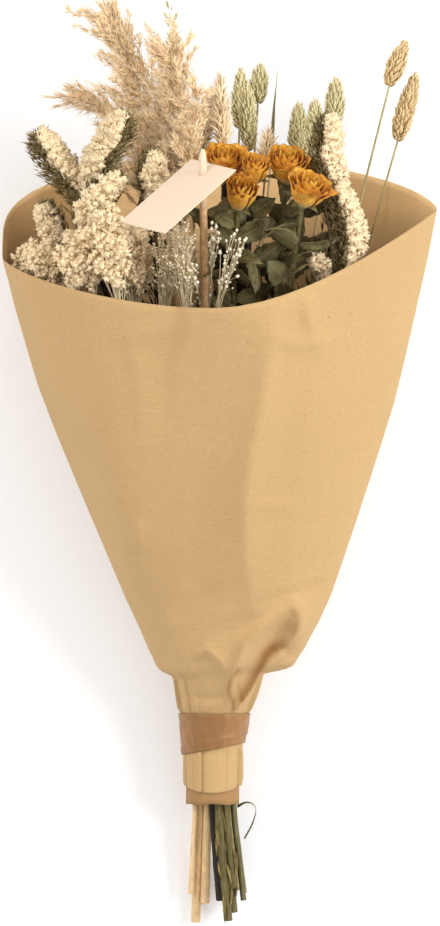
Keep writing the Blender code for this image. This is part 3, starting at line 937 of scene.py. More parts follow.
def within(points, clearance=2.5 * MM):
    """Which points keep clear of the wrap, or lie beyond its mouth."""
    skin, middle = skin_of("paper_wrap"), wrap_axis()
    kept = []
    for point in points:
        x, _, z = Vector(point) - middle(point[1])
        reach = reach_at(skin, middle, point[1], math.atan2(z, x))
        kept.append(reach < 0 or math.hypot(x, z) < reach - clearance)
    return np.array(kept)


def behind_pick(line):
    """A twig, led behind the wooden pick where it would hide it."""
    line, pick = line.copy(), rings_of("tag_pick")
    beside = np.abs(line[:, 0] - np.interp(line[:, 1], pick[:, 1], pick[:, 0])) < 4.5 * MM
    beside &= line[:, 1] < pick[-1, 1] - 10 * MM
    behind = np.interp(line[:, 1], pick[:, 1], pick[:, 2]) - 4 * MM
    line[:, 2] = np.where(beside, np.minimum(line[:, 2], behind), line[:, 2])
    return line


def pleats(turns, y, low, high):
    """Folds of the gathered neck: sharp on one side, running out on the other."""
    height = np.zeros(y.shape)
    above = smooth_step((y - high + 2 * MM) / (6 * MM)) * (1 - smooth_step((y - high) / (44 * MM)))
    below = smooth_step((low + 2 * MM - y) / (4 * MM))
    for turn, over, under, width in PLEATS:
        off = ((turns - turn + math.pi) % (2 * math.pi) - math.pi) * np.sign(width)
        fold = np.where(off > 0, np.exp(-off / abs(width)), -0.6 * np.exp(off / 0.06))
        height += (over * above + under * below) * MM * fold
    return height


def over_lip(turns, y, tape_top):
    """Where the cone is read at a height, so that it bulges over the neck: just above the lip it is as wide
    as farther up, and just below it as farther down.
    """
    off_lip = y - (tape_top + 28 * MM) - 3 * MM * np.sin(2 * turns)
    strength = 8 * MM * (1 - 0.92 * np.exp(-(((turns - 1.62) / 0.55) ** 2)))
    strength *= 1 - 0.8 * np.exp(-(((turns - 0.72) / 0.3) ** 2))
    return y + strength * np.tanh(off_lip / (2 * MM)) * np.exp(-np.abs(off_lip) / (11 * MM))


def slackened(reach, turns, y, tape_top, rim):
    """Adds the shallow flutes of slack paper above the neck, which die out towards the rim."""
    climb = np.clip((y - tape_top) / (rim - tape_top), 0, 1)
    slack = np.sin(np.pi * np.clip(climb - 0.03, 0, 1)) ** 1.5
    for waves, start, rise in FLUTES:
        reach = reach + rise * MM * slack * (1 + np.sin(waves * turns + start + 3 * climb))
    return reach


def finish_back(points, turns):
    """Lays the sheet's overlap up the back and bends back the right-hand corner of its mouth."""
    lap = (turns - LAP_TURN) % (2 * math.pi)
    points[..., 2] -= 0.9 * MM * np.exp(-lap / 0.5) * (np.sin(turns) < -0.2)
    back = (np.sin(turns) < 0.02) & (np.cos(turns) > 0.2)
    beyond, _ = beside_line(CORNER_FOLD, points[..., 0], points[..., 1])
    points[..., 2] -= np.where(back, 0.45 * np.clip(beyond, 0, 20 * MM), 0)
    points[..., 2] = np.maximum(points[..., 2], 0.2 * MM)


def paper_points(crease):
    """Every point of the finished wrap's outer face, from its foot to its rim."""
    tape_low, tape_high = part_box("neck_tape")
    skin, turns, foot, rim = sleeve("paper_wrap", WRAP_COLUMNS, tape_high.y)
    foot = foot + (5.5 + 8 * (1 - np.clip(np.sin(turns), 0, 1))) * MM
    share = np.linspace(0, 1, WRAP_ROWS)[:, None]
    y = foot + (rim - foot) * (0.42 * share + 0.58 * share**2)
    reach = reaches(skin, turns, np.clip(over_lip(turns, y, tape_high.y), foot, rim))
    for _ in range(2):
        reach = (np.roll(reach, 1, axis=1) + 2 * reach + np.roll(reach, -1, axis=1)) / 4
    # the tape presses the folds flat
    pressed = smooth_step((y - tape_low.y + 2 * MM) / (4 * MM))
    pressed *= smooth_step((tape_high.y + 2 * MM - y) / (4 * MM))
    reach = reach - 0.3 * MM * pressed + pleats(turns, y, tape_low.y + 4 * MM, tape_high.y)
    points = round_axis(turns, y, slackened(reach, turns, y, tape_high.y, rim))
    front = smooth_step(np.sin(turns) / 0.35)
    free = smooth_step((points[..., 1] - tape_high.y - 0.5 * MM) / (7 * MM))
    points[..., 2] += crease * front * free * creased(points[..., 0], points[..., 1])
    finish_back(points, turns)
    return points


def ring_faces(rows, columns):
    """Faces of a sleeve whose columns run round it; they face outwards."""
    return [
        (row * columns + column, (row + 1) * columns + column,
         (row + 1) * columns + (column + 1) % columns, row * columns + (column + 1) % columns)
        for row in range(rows - 1)
        for column in range(columns)
    ]


def build_wrap(settings):
    """The sheet of kraft paper, rolled into a cone round the bunch."""
    points = paper_points(settings.crease)
    front = points[..., 2] > wrap_axis()(0).z
    # painted shade: the front's deep folds are marked in the fold attribute, which darkens the paper's
    # colour there
    hollow = np.where(front, fold_shade_share(points[..., 0], points[..., 1]), 0.0).ravel()
    faces = ring_faces(WRAP_ROWS, WRAP_COLUMNS)
    mesh = mesh_of("wrap", points.reshape(-1, 3), faces=faces, fold=hollow)
    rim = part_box("paper_wrap")[1].y
    # painted shade darkens the inside deep down and fades out between these two heights; the inside's
    # brighter colour is painted light
    painted_shade_span = rim - 75 * MM, rim - 35 * MM
    mesh.materials.append(paper_material("kraft_outside", tuple(settings.outside)))
    mesh.materials.append(paper_material("kraft_inside", tuple(settings.inside), painted_shade_span=painted_shade_span))
    mesh.shade_smooth()
    wrap = solid(placed("wrap", mesh), settings.sheet, -1, material_offset=1, material_offset_rim=0)
    finished("kraft_paper_wrap", [wrap], "paper_wrap")


def wind(label, name, node, points, wall, material, **attributes):
    """A strip of paper wound round the neck."""
    faces = ring_faces(*points.shape[:2])
    mesh = mesh_of(label, points.reshape(-1, 3), faces=faces, **attributes)
    mesh.materials.append(material)
    mesh.shade_smooth()
    finished(name, [solid(placed(label, mesh), wall, -1)], node)


def tape_material(colour):
    """Smooth brown tape, streaked along its length and darker where it lies double."""
    material, tree, shader = base_material("paper_tape", 0.42, 0.45)
    streak = object_noise(tree, 700, (0.08, 1, 0.08), 3.0)
    blotch = object_noise(tree, 120, detail=3.0)
    body = ramp(tree, streak, ((0.3, scaled(colour, 0.92)), (0.5, colour), (0.7, scaled(colour, 1.07))))
    body = blend(tree, ranged(tree, blotch, 0.4, 0.7, 0.0, 0.5), body, scaled(colour, 1.25))
    double = ranged(tree, attribute(tree, "tint"), 0.4, 0.6, 0.0, 0.5)
    body = blend(tree, double, body, scaled(colour, 0.78))
    tree.links.new(body, shader.inputs["Base Color"])
    tree.links.new(ranged(tree, blotch, 0.3, 0.7, 0.32, 0.6), shader.inputs["Roughness"])
    bumped(tree, shader, blotch, 0.25, 0.4 * MM)
    return material


def build_tape(settings):
    """Brown tape, wound round the paper a little more than once."""
    low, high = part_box("neck_tape")
    skin, turns, foot, rim = sleeve("neck_tape", TAPE_COLUMNS, (low.y + high.y) / 2)
    y = foot + (rim - foot) * np.linspace(0, 1, TAPE_ROWS)[:, None]
    # the outer end of the tape, and a wrinkle that runs along the lower edge
    over = np.where((turns - 1.25) % (2 * math.pi) < 0.95, 0.35 * MM, 0.0)
    edge = y - foot - 5.0 * MM - 1.5 * MM * np.cos(turns)
    wrinkle = 1.1 * MM * np.exp(-np.abs(edge) / (0.8 * MM)) * (np.sin(turns) > -0.5)
    ripple = 0.2 * MM * np.sin(9 * turns + 400 * y) + 0.15 * MM * np.sin(17 * turns - 300 * y)
    points = round_axis(turns, y, reaches(skin, turns, y) + over + wrinkle + ripple)
    double = np.broadcast_to(np.where(over > 0, 1.0, 0.0), y.shape).ravel()
    material = tape_material(tuple(settings.tape))
    wind("tape", "neck_tape_wound", "neck_tape", points, 0.35 * MM, material, tint=double)


def build_band(settings):
    """The darker band of crumpled paper round the stems."""
    low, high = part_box("stem_band")
    skin, turns, foot, rim = sleeve("stem_band", TAPE_COLUMNS, (low.y + high.y) / 2)
    foot = foot + (0.4 + 0.4 * np.sin(5 * turns)) * MM
    y = foot + (rim - foot) * np.linspace(0, 1, BAND_ROWS)[:, None]
    crumple = 0.12 * MM * np.sin(13 * turns + 200 * y) + 0.1 * MM * np.sin(7 * turns)
    points = round_axis(turns, y, reaches(skin, turns, y) + crumple)
    colour = mixed(tuple(settings.tape), tuple(settings.outside), 0.35)
    material = paper_material("band_paper", colour, gloss=0.1)
    wind("band", "stem_band_wound", "stem_band", points, 0.5 * MM, material)


# ------------------------------------------------------------------ reed plumes

PLUME_FOOT = 42 * MM  # how far below its head a plume already carries branches


def spikelet_shape(name, width, bend=0.0):
    """A slender grain, 1 long, a little flattened and bent by choice."""
    return loft(name, [oval(4, 0.38, width, width * 0.7, bend)], (0, 0, 0), (0, -bend, 1))


def hair_shape():
    """A silky hair, 1 long and slightly bent."""
    return loft("hair", [oval(3, 0.2, 0.018, 0.018)], (0, 0, 0), (0, 0.12, 1))


def plume_axis(plant, widest):
    """The axis of a plume's head, with the thin foot below it."""
    foot = plant.stem[plant.stem[:, 1] > plant.head[0, 1] - PLUME_FOOT].copy()
    foot[:, 3] = np.linspace(0.3, 0.9, len(foot)) * widest
    return eased(np.vstack([foot[:-1], plant.head]), 2 * MM)


def plume_branches(head, widest, fullest, chance):
    """Those side branches of a plume that keep clear of the wrap, and how its spikelets sit on them."""
    count = max(10, int(fullest * min(1.0, widest / (12 * MM))))
    shares = np.linspace(0.0, 0.93, count) ** 0.9
    turns = np.arange(count) * GOLDEN_TURN + chance.uniform(0, 0.5, count)
    starts, ahead, out = round_head(head, shares, turns)
    paths, points, facing = [], [], []
    for start, forward, outwards, share in zip(starts, ahead, out, shares):
        length = (0.42 * (1 - share) + 0.24) * 78 * MM * (0.35 + 0.65 * widest / (14 * MM))
        heading = unit(forward + chance.uniform(0.35, 0.85) * outwards)
        room = (CAD_BOX[1].y - start[1]) / max(0.3, heading[1])
        length = min(length * chance.uniform(0.7, 1.2), room)
        lean = np.array((-0.20, 0.0, -0.06)) * chance.uniform(0.0, 1.8) + chance.normal(0, 0.06, 3)
        path = branch(start[:3], heading, length, lean, 8, 0.30 * MM, 0.12 * MM)
        if not within(path[:, :3]).all():
            continue
        paths.append(path)
        number = int(24 + 950 * length)
        spots = at_share(path, np.sort(chance.uniform(0.08, 1.0, number)))
        points.append(spots[:, :3] + chance.normal(0, 0.7 * MM, (number, 3)))
        facing.append(unit(heading + 2 * lean) + chance.normal(0, 0.33, (number, 3)))
    return paths, np.vstack(points), np.vstack(facing)


def build_plumes(settings):
    """Reed plumes: many fine side branches, hung with silky spikelets."""
    spikelet, hair = spikelet_shape("spikelet", 0.075, 0.03), hair_shape()
    colour = tuple(settings.colour)
    coat = plant_material(
        "reed_spikelets", colour, 500, (1, 0.4, 1), 0.28, 0.25,
        root=scaled(colour, 0.85), tip=scaled(colour, 1.25), sheen=0.1,
    )
    pale = mixed(colour, (1.0, 0.82, 0.6), 0.4)
    silk = plant_material("reed_silk", pale, 400, (1, 0.25, 1), 0.3, 0.15, bump=0, sheen=0.15)
    straw = stem_material("reed_straw", tuple(settings.straw), 0.28)
    for plant in plants("reed_plume"):
        chance = plant.chance
        widest = plant.head[:, 3].max()
        head = plume_axis(plant, widest)
        paths, points, facing = plume_branches(head, widest, settings.branches, chance)
        fine = chance.random(len(points)) < 0.8
        axis = at_share(head, np.linspace(0, 1, 24))
        axis[:, 3] = np.linspace(1.1, 0.3, len(axis)) * MM
        loose = chance.normal(0, 1, points.shape)
        hairs = facing[fine] + chance.normal(0, 0.25, (fine.sum(), 3))
        length = settings.spikelet
        parts = [
            stalks([knotted(plant.stem, 88 * MM, 0.10)], 12, straw),
            stalks([axis, *paths], 4, coat),
            florets(
                spikelet, points, facing, loose, length, coat,
                plant.seed, tilt=0.15, least=0.7, most=1.25,
            ),
            florets(
                hair, points[fine], hairs, loose[fine], 1.8 * length, silk,
                plant.seed + 1, tilt=0.2, least=0.7, most=1.3,
            ),
        ]
        finished(f"dried_{plant.node}", parts, plant.node)


# ------------------------------------------------------------------ small flowers

BRACT_LENGTH = 6.0 * MM
BLADE_COUNT, BLADE_LENGTH = 240, 15 * MM  # withered blades down one statice stem
TWIG_COUNT = 16  # short twigs under the florets of one statice spray
TWIGLETS, TWIGLET_FLORETS = 7, 7  # on each twig of sea lavender, and on each twiglet
TWIG_BOW = 0.1  # a fine twig bows up by a quarter of this share of its length

# How each spray of statice grows: the side that carries its florets, as a turn from its right-hand side
# upwards, how far its bracts reach as a share of its radius, and how far it sways to the right low down,
# higher up and at its tip, in mm.
SPRAYS = {
    "statice_1": (0.5, 1.25, (1.6, -3.4, 0.6)),
    "statice_2": (2.5, 1.25, (-2.6, 2.9, 0.9)),
    "statice_3": (1.0, 1.1, (3.1, -1.8, -2.2)),
    "statice_4": (1.3, 1.1, (-3.1, 0.4, 3.1)),
    "statice_5": (2.0, 1.1, (2.5, 1.1, -3.5)),
    "statice_6": (0.35, 1.0, (-4, -4, -9)),
    "statice_7": (0.4, 1.0, (-4, -8, 2)),
    "statice_8": (2.2, 1.0, (9, 8, 6)),
}
PALE_STALKS = ("statice_1",)


def pointed_rim(*points):
    """Eight points round Z that take turns, each with its distance from Z and its height."""
    turns = np.arange(8) * 2 * math.pi / 8
    pairs = zip(turns, points * 4)
    return [(out * math.cos(turn), out * math.sin(turn), height) for turn, (out, height) in pairs]


def papery_floret():
    """A small trumpet with a ruffled rim and a hollow throat."""
    rim = pointed_rim((0.56, 0.77), (0.44, 0.43))
    return loft("papery_floret", [oval(8, 0.3, 0.22, 0.22), rim], (0, 0, -0.25), (0, 0, 0.5))


def star_floret():
    """A shallow star with four petals."""
    return loft("star_floret", [pointed_rim((0.26, 0.34), (0.5, 0.55))], (0, 0, -0.1), (0, 0, 0.42))


def sway(head, ways):
    """Bends a head to the right by so many millimetres low down, higher up and at its tip."""
    head[:, 0] += np.interp(np.linspace(0, 1, len(head)), (0.0, 0.3, 0.65, 1.0), (0, *ways)) * MM


def statice_florets(plant, outer, size, shape, width, finish):
    """Papery florets, crowded in lumps on the outer side of the spray."""
    chance, head = plant.chance, plant.head
    count = int(size * 1.1e6)
    shares = chance.uniform(0.0, 1.0, count)
    turns = outer + chance.uniform(-1.05, 1.05, count)
    spots, ahead, out = round_head(head, shares, turns)
    lumps = np.sin(shares * len(head) / 3.5 * 2 * math.pi + 2 * turns) * np.sin(3 * turns + 1)
    depth = (0.94 + 0.18 * lumps + chance.normal(0, 0.07, count))[:, None]
    points = spots[:, :3] + out * (spots[:, 3:] * depth)
    lift = chance.uniform(-0.2, 0.8, count)[:, None]
    loose = chance.normal(0, 1, points.shape)
    facing = out + ahead * lift + (0, 0, 0.4)
    return florets(
        shape, points, facing, loose, width, finish, plant.seed, tilt=0.6, least=0.7, most=1.3
    )


def statice_bracts(plant, outer, size, furthest, shape, finish):
    """Bristly bracts all over the other side."""
    chance = plant.chance
    count = int(size * 2.4e6)
    shares = chance.uniform(0.0, 0.97, count)
    turns = outer + math.pi + chance.uniform(-2.1, 2.1, count)
    spots, ahead, out = round_head(plant.head, shares, turns)
    points = spots[:, :3] + out * spots[:, 3:] * chance.uniform(0.1, furthest, count)[:, None]
    facing = out * 0.55 + ahead + chance.normal(0, 0.2, points.shape)
    return florets(
        shape, points, facing, out, BRACT_LENGTH, finish, plant.seed + 1, tilt=0.35, least=0.7, most=1.3
    )


def statice_cushion(head, outer):
    """The core under the florets, moved to their side."""
    cushion = at_share(head, np.linspace(0.02, 0.97, len(head) // 2))
    _, side, up = frames(cushion)
    cushion[:, :3] += (side * math.cos(outer) + up * math.sin(outer)) * cushion[:, 3:] * 0.38
    cushion[:, 3] *= 0.64 + 0.06 * np.sin(np.arange(len(cushion)) * 2.1)
    return cushion


def withered_blades(plant, shape, finish):
    """Withered blades down the stem, kept well clear of the wrap."""
    chance = plant.chance
    free = plant.stem[plant.stem[:, 1] > plant.head[0, 1] - 110 * MM]
    shares, turns = chance.uniform(0, 1, BLADE_COUNT), chance.uniform(0, 6.28, BLADE_COUNT)
    spots, ahead, out = round_head(free, shares, turns)
    points = spots[:, :3] + out * chance.uniform(0.5, 10.0, BLADE_COUNT)[:, None] * MM
    clear = within(points, 14 * MM)
    facing = ahead + out * chance.uniform(-0.2, 0.6, BLADE_COUNT)[:, None]
    points, facing, out = points[clear], facing[clear], out[clear]
    return florets(
        shape, points, facing, out, BLADE_LENGTH, finish, plant.seed + 2, tilt=0.3, least=0.6, most=1.2
    )


def statice_twigs(head, outer):
    """The stem inside a spray and the short twigs that it forks into under the florets."""
    shares, turns = np.linspace(0.0, 0.9, TWIG_COUNT), outer + np.arange(TWIG_COUNT) * 1.9
    spots, ahead, out = round_head(head, shares, turns)
    twigs = [
        branch(spot[:3], unit(forward + outwards), spot[3] * 0.8, NO_SAG, 3, 0.6 * MM, 0.3 * MM)
        for spot, forward, outwards in zip(spots, ahead, out)
    ]
    core = head.copy()
    core[:, 3] = np.linspace(1.2, 0.5, len(core)) * MM
    return [core, *twigs]


def build_statice(settings):
    """Statice: papery florets crowded on one side of the spray, bristly bracts on the other."""
    floret, bract = papery_floret(), spikelet_shape("bract", 0.085)
    papery = plant_material(
        "papery_cream", tuple(settings.cream), 900, EVEN, 0.08, 0.08, root=tone("#fde0b2"),
        roughness=0.9, bump=0.1,
    )
    brown = tuple(settings.bract)
    scaly = plant_material(
        "statice_bracts", brown, 500, EVEN, 0.4, 0.5, root=scaled(brown, 0.5), tip=tone("#a3946a")
    )
    withered = plant_material(
        "withered_blades", tone("#4f4129"), 500, (1, 0.3, 1), 0.4, 0.5,
        root=tone("#2c2216"), tip=tone("#85734a"),
    )
    green = stem_material("statice_stalk", tone("#75704a"), 0.45)
    pale = stem_material("pale_stalk", tone("#f0d09e"), 0.3)
    for plant in plants("statice"):
        outer, furthest, ways = SPRAYS[plant.node]
        size = len(plant.head) * 2 * MM * plant.head[:, 3].max()
        sway(plant.head, ways)
        stalk = pale if plant.node in PALE_STALKS else green
        parts = [
            statice_florets(plant, outer, size, floret, settings.statice, papery),
            statice_bracts(plant, outer, size, furthest, bract, scaly),
            stalks([statice_cushion(plant.head, outer)], 10, papery),
            withered_blades(plant, bract, withered),
            stalks([knotted(plant.stem, 60 * MM, 0.06)], 10, stalk),
            stalks(statice_twigs(plant.head, outer), 5, scaly),
        ]
        finished(f"dried_{plant.node}", parts, plant.node)


def spray(plant, twigs, fork_from, spread, thick, thin):
    """A bundle of fine twigs that fan out from the stem into the head's envelope, clear of the wrap."""
    chance, head = plant.chance, plant.head
    ends_at = 0.55 + 0.45 * chance.random(twigs) ** 0.7
    turns = np.arange(twigs) * GOLDEN_TURN
    tips, _, out = round_head(head, ends_at, turns)
    reach = np.sqrt(chance.uniform(0.05, 1.0, twigs))[:, None] * spread
    tips = tips[:, :3] + out * tips[:, 3:] * reach
    starts = at_share(head, fork_from * chance.random(twigs))[:, :3]
    below = plant.stem[-4, :3]
    paths = []
    for start, tip, low in zip(starts, tips, chance.random(twigs)):
        root = below + (start - below) * low
        share = np.linspace(0, 1, 9)[:, None]
        bow = unit(np.cross(tip - root, chance.normal(0, 1, 3))) * np.linalg.norm(tip - root) * 0.05
        line = root + (tip - root) * share + bow * np.sin(np.pi * share) * chance.normal(0, 1)
        line[:, 2] += TWIG_BOW * np.linalg.norm(tip - root) * (share[:, 0] - share[:, 0] ** 2)
        line = behind_pick(line)
        if within(line).all():
            paths.append(np.hstack([line, thick + (thin - thick) * share]))
    return paths


def lavender_twiglets(paths, chance):
    """Short twiglets on the twigs of sea lavender, and where and how the florets sit on them."""
    points, facing, twiglets = [], [], []
    for path in paths:
        for _ in range(TWIGLETS):
            start = at_share(path, [chance.uniform(0.45, 1.0)])[0, :3]
            heading = unit(unit(path[-1, :3] - path[-3, :3]) + chance.normal(0, 0.7, 3))
            twiglet = branch(start, heading, chance.uniform(3, 8) * MM, NO_SAG, 3, 0.2 * MM, 0.12 * MM)
            twiglets.append(twiglet)
            spots = at_share(twiglet, chance.uniform(0.3, 1.1, TWIGLET_FLORETS))[:, :3]
            points.append(spots + chance.normal(0, 1.2 * MM, spots.shape))
            facing.append(0.7 * heading + chance.normal(0, 0.4, spots.shape) + np.array((0.2, 0.1, 1.5)))
    points, facing = np.vstack(points), np.vstack(facing)
    clear = within(points)
    twiglets = [twiglet for twiglet in twiglets if within(twiglet[-1:, :3])[0]]
    return twiglets, points[clear], facing[clear]


def build_sea_lavender(settings):
    """Sea lavender: clouds of tiny cream florets on fine pale twigs."""
    floret = star_floret()
    petals = plant_material(
        "sea_lavender_petals", tuple(settings.cream), 900, EVEN, 0.08, 0.10, root=tone("#fbe0b0"), bump=0.1
    )
    twig = plant_material("sea_lavender_twigs", tone("#f2e2ba"), 700, FINE_TWIG, 0.2, 0.2, bump=0.1)
    for plant in plants("sea_lavender"):
        chance = plant.chance
        twigs = int(44 * plant.head[:, 3].max() / (10 * MM))
        paths = spray(plant, twigs, 0.35, 1.45, 0.42 * MM, 0.2 * MM)
        twiglets, points, facing = lavender_twiglets(paths, chance)
        loose = chance.normal(0, 1, points.shape)
        parts = [
            stalks([plant.stem], 7, twig),
            stalks(paths + twiglets, 4, twig),
            florets(
                floret, points, facing, loose, settings.lavender, petals,
                plant.seed, tilt=0.3, least=0.7, most=1.3,
            ),
        ]
        finished(f"dried_{plant.node}", parts, plant.node)


def forked(paths, forks, longest, thick, chance):
    """Side twigs that fork from a spray's twigs."""
    twigs = []
    for path in paths:
        for _ in range(forks):
            start = at_share(path, [chance.uniform(0.3, 0.95)])[0, :3]
            heading = unit(unit(path[-1, :3] - path[0, :3]) + chance.normal(0, 0.38, 3))
            length = chance.uniform(0.35, 1.0) * longest * MM
            twig = branch(start, heading, length, NO_SAG, 4, 0.6 * thick * MM, 0.4 * thick * MM)
            twigs.append(behind_pick(twig))
    return twigs


def build_fine_sprays(settings):
    """Gypsophila and broom bloom: fine pale twigs that end in tiny florets or in round buds."""
    floret = star_floret()
    rounds = [oval(6, height, width, width) for height, width in ((0.2, 0.28), (0.55, 0.38), (0.86, 0.22))]
    bud = loft("bud", rounds, (0, 0, 0), (0, 0, 1))
    pale = plant_material("gypsophila_twigs", tone("#eddcb6"), 700, FINE_TWIG, 0.3, 0.2, bump=0.1)
    bloom = plant_material("gypsophila_florets", tone("#fdeac8"), 900, EVEN, 0.2, 0.2, bump=0.1)
    white = plant_material(
        "broom_buds", tone("#f5ead3"), 900, EVEN, 0.08, 0.08, root=tone("#d9caa2"), bump=0.1
    )
    cane = plant_material("broom_twigs", tone("#dccba6"), 700, FINE_TWIG, 0.25, 0.15, bump=0.1)
    for kind, twigs, forks, longest, thick, tip, size, tip_material, twig_material in (
        ("gypsophila", 34, 4, 13, 0.36, floret, 2.2 * MM, bloom, pale),
        ("broom_bloom", 9, 4, 9, 0.42, bud, settings.bud, white, cane),
    ):
        for plant in plants(kind):
            chance = plant.chance
            paths = spray(plant, twigs, 0.5, 1.35, thick * MM, 0.5 * thick * MM)
            paths += forked(paths, forks, longest, thick, chance)
            ends = np.array([path[-1, :3] for path in paths])
            heading = unit([path[-1, :3] - path[-2, :3] for path in paths])
            if kind == "gypsophila":
                ends = np.vstack([ends, ends - heading * 1.5 * MM + chance.normal(0, 0.9 * MM, ends.shape)])
                heading = np.vstack([heading, heading])
            loose = chance.normal(0, 1, ends.shape)
            parts = [
                stalks([plant.stem], 7, twig_material),
                stalks(paths, 5, twig_material),
                florets(
                    tip, ends, heading, loose, size, tip_material,
                    plant.seed, tilt=0.3, least=0.65, most=1.3,
                ),
            ]
            finished(f"dried_{plant.node}", parts, plant.node)


# ------------------------------------------------------------------ grasses

RIPE_SPIKES = ("canary_grass_1", "canary_grass_2")
OAT_TWIGS = 22


def glume_shape():
    """A keeled scale, boat-shaped, its keel towards +Y."""
    rings = [
        [(half, 0.02, height), (0.0, keel, height), (-half, 0.02, height), (0.0, -0.03, height)]
        for height, half, keel in ((0.12, 0.10, 0.08), (0.45, 0.18, 0.15), (0.80, 0.11, 0.09))
    ]
    return loft("glume", rings, (0, 0, 0), (0, 0.04, 1))


def spike_places(head, count, chance, sink, jitter):
    """Places of scales all over a spike: crowded where it is thick, turned by the golden angle."""
    weight = np.cumsum(head[:, 3] + 0.6 * MM)
    shares = np.interp(np.linspace(0, weight[-1], count), weight, np.linspace(0, 1, len(head)))
    shares = np.clip(shares + chance.normal(0, 0.01, count), 0, 1)
    turns = np.arange(count) * GOLDEN_TURN + chance.normal(0, jitter, count)
    spots, ahead, out = round_head(head, shares, turns)
    return spots[:, :3] + out * spots[:, 3:] * sink, ahead, out, shares


def spike_core(head, share):
    """The core of a spike, a share of its thickness."""
    core = head.copy()
    core[:, 3] = np.maximum(head[:, 3] * share, 0.3 * MM)
    return core


def build_canary_grass(settings):
    """Canary grass: dense oval spikes of keeled scales on hair-thin stems."""
    glume = glume_shape()
    sage, ripe = tuple(settings.sage), mixed(tuple(settings.sage), tone("#dcb67e"), 0.7)
    coats = [
        plant_material(
            name, colour, 1500, (1, 0.12, 1), 0.22, 0.16,
            root=scaled(colour, 0.74), tip=mixed(colour, tone("#fff0cc"), 0.5), tip_from=0.5,
        )
        for name, colour in (("canary_scales", sage), ("canary_scales_ripe", ripe))
    ]
    stalk = stem_material("canary_stalk", tone("#b8a674"), 0.3)
    for plant in plants("canary_grass"):
        head, chance = plant.head, plant.chance
        scale = coats[plant.node in RIPE_SPIKES]
        count = int(settings.glumes * np.linalg.norm(head[-1, :3] - head[0, :3]) / (36 * MM))
        points, ahead, out, shares = spike_places(head, count, chance, 0.66, 0.15)
        size = settings.glume * np.interp(shares, (0, 0.15, 0.8, 1), (0.8, 1, 0.95, 0.75))
        lean = np.interp(shares, (0, 0.3, 1), (0.9, 0.6, 0.2))[:, None]
        points = points - ahead * (size * 0.45)[:, None]
        parts = [
            stalks([plant.stem], 7, stalk),
            stalks([spike_core(head, 0.75)], 8, scale),
            florets(
                glume, points, ahead + out * lean, out, size, scale,
                plant.seed, tilt=0.12, least=0.85, most=1.15,
            ),
        ]
        finished(f"dried_{plant.node}", parts, plant.node)


def build_foxtails(settings):
    """Foxtails: loose spikes of long, bristly spikelets in rows."""
    rings = [oval(4, 0.22, 0.11, 0.08), oval(4, 0.5, 0.085, 0.06)]
    spikelet = loft("awned", rings, (0, 0, 0), (0, 0.10, 1.15))
    coat = plant_material(
        "foxtail_spikelets", tuple(settings.peach), 700, (1, 0.3, 1), 0.28, 0.25,
        root=tone("#b98f62"), tip=tone("#f3dcb8"), sheen=0.2,
    )
    stalk = stem_material("foxtail_stalk", tone("#cfae7d"), 0.3)
    for plant in plants("foxtail"):
        head, chance = plant.head, plant.chance
        count = int(260 * np.linalg.norm(head[-1, :3] - head[0, :3]) / (40 * MM))
        points, ahead, out, shares = spike_places(head, count, chance, 0.22, 0.3)
        size = 9.5 * MM * np.interp(shares, (0, 0.2, 0.8, 1), (0.8, 1, 0.9, 0.6))
        size = size * (0.6 + 0.4 * head[:, 3].max() / (7 * MM))
        lean = np.interp(shares, (0, 0.5, 1), (0.85, 0.6, 0.25))[:, None]
        points = points - ahead * (size * 0.5)[:, None]
        parts = [
            stalks([plant.stem], 7, stalk),
            stalks([spike_core(head, 0.25)], 6, coat),
            florets(
                spikelet, points, ahead + out * lean, out, size, coat,
                plant.seed, tilt=0.22, least=0.75, most=1.25,
            ),
        ]
        finished(f"dried_{plant.node}", parts, plant.node)


def build_oat(straw):
    """An oat panicle: small husks on short twigs up the last of its stem."""
    coat = plant_material("oat_spikelets", tone("#c3b283"), 700, (1, 0.3, 1), 0.35, 0.3, tip=tone("#e6d8b4"))
    rings = [oval(5, 0.3, 0.13, 0.10), oval(5, 0.65, 0.09, 0.07)]
    husk = loft("oat", rings, (0, 0, 0), (0, 0, 1))
    plant = plants("oat_grass")[0]
    chance = plant.chance
    axis = at_share(plant.head, np.linspace(0, 0.97, 30))
    axis[:, 3] = np.linspace(0.6, 0.25, len(axis)) * MM
    starts, ahead, out = round_head(axis, np.linspace(0.35, 1.0, OAT_TWIGS), np.arange(OAT_TWIGS) * 2.6)
    twigs = []
    for start, forward, outwards in zip(starts, ahead, out):
        heading, length = unit(forward + 0.45 * outwards), chance.uniform(3, 7) * MM
        twigs.append(branch(start[:3], heading, length, (0, 0, -0.15), 4, 0.18 * MM, 0.12 * MM))
    ends = np.array([path[-1, :3] for path in twigs])
    heading = np.array([path[-1, :3] - path[-2, :3] for path in twigs])
    ends = np.vstack([ends, ends + chance.normal(0, 0.4 * MM, ends.shape)])
    heading = np.vstack([heading, heading + chance.normal(0, 0.2 * MM, heading.shape)])
    loose = chance.normal(0, 1, ends.shape)
    parts = [
        stalks([plant.stem], 7, straw),
        stalks([axis, *twigs], 4, straw),
        florets(husk, ends, heading, loose, 6.0 * MM, coat, plant.seed, tilt=0.2, least=0.75, most=1.2),
    ]
    finished("dried_oat_grass", parts, plant.node)


def ribbon(line, turn, half, hollow=0.0):
    """A narrow leaf along a line, turned about it and hollowed along its middle: its grid, and how far along
    each point lies.
    """
    ahead, side, up = frames(line)
    across = side * np.cos(turn) + up * np.sin(turn)
    trough = np.cross(across, ahead) * hollow
    edges = (-1, -0.5, 0, 0.5, 1)
    grid = [line[:, :3] + across * half * edge + trough * half * abs(edge) for edge in edges]
    return np.stack(grid, axis=1), np.repeat(np.linspace(0, 1, len(line))[:, None], len(edges), axis=1)


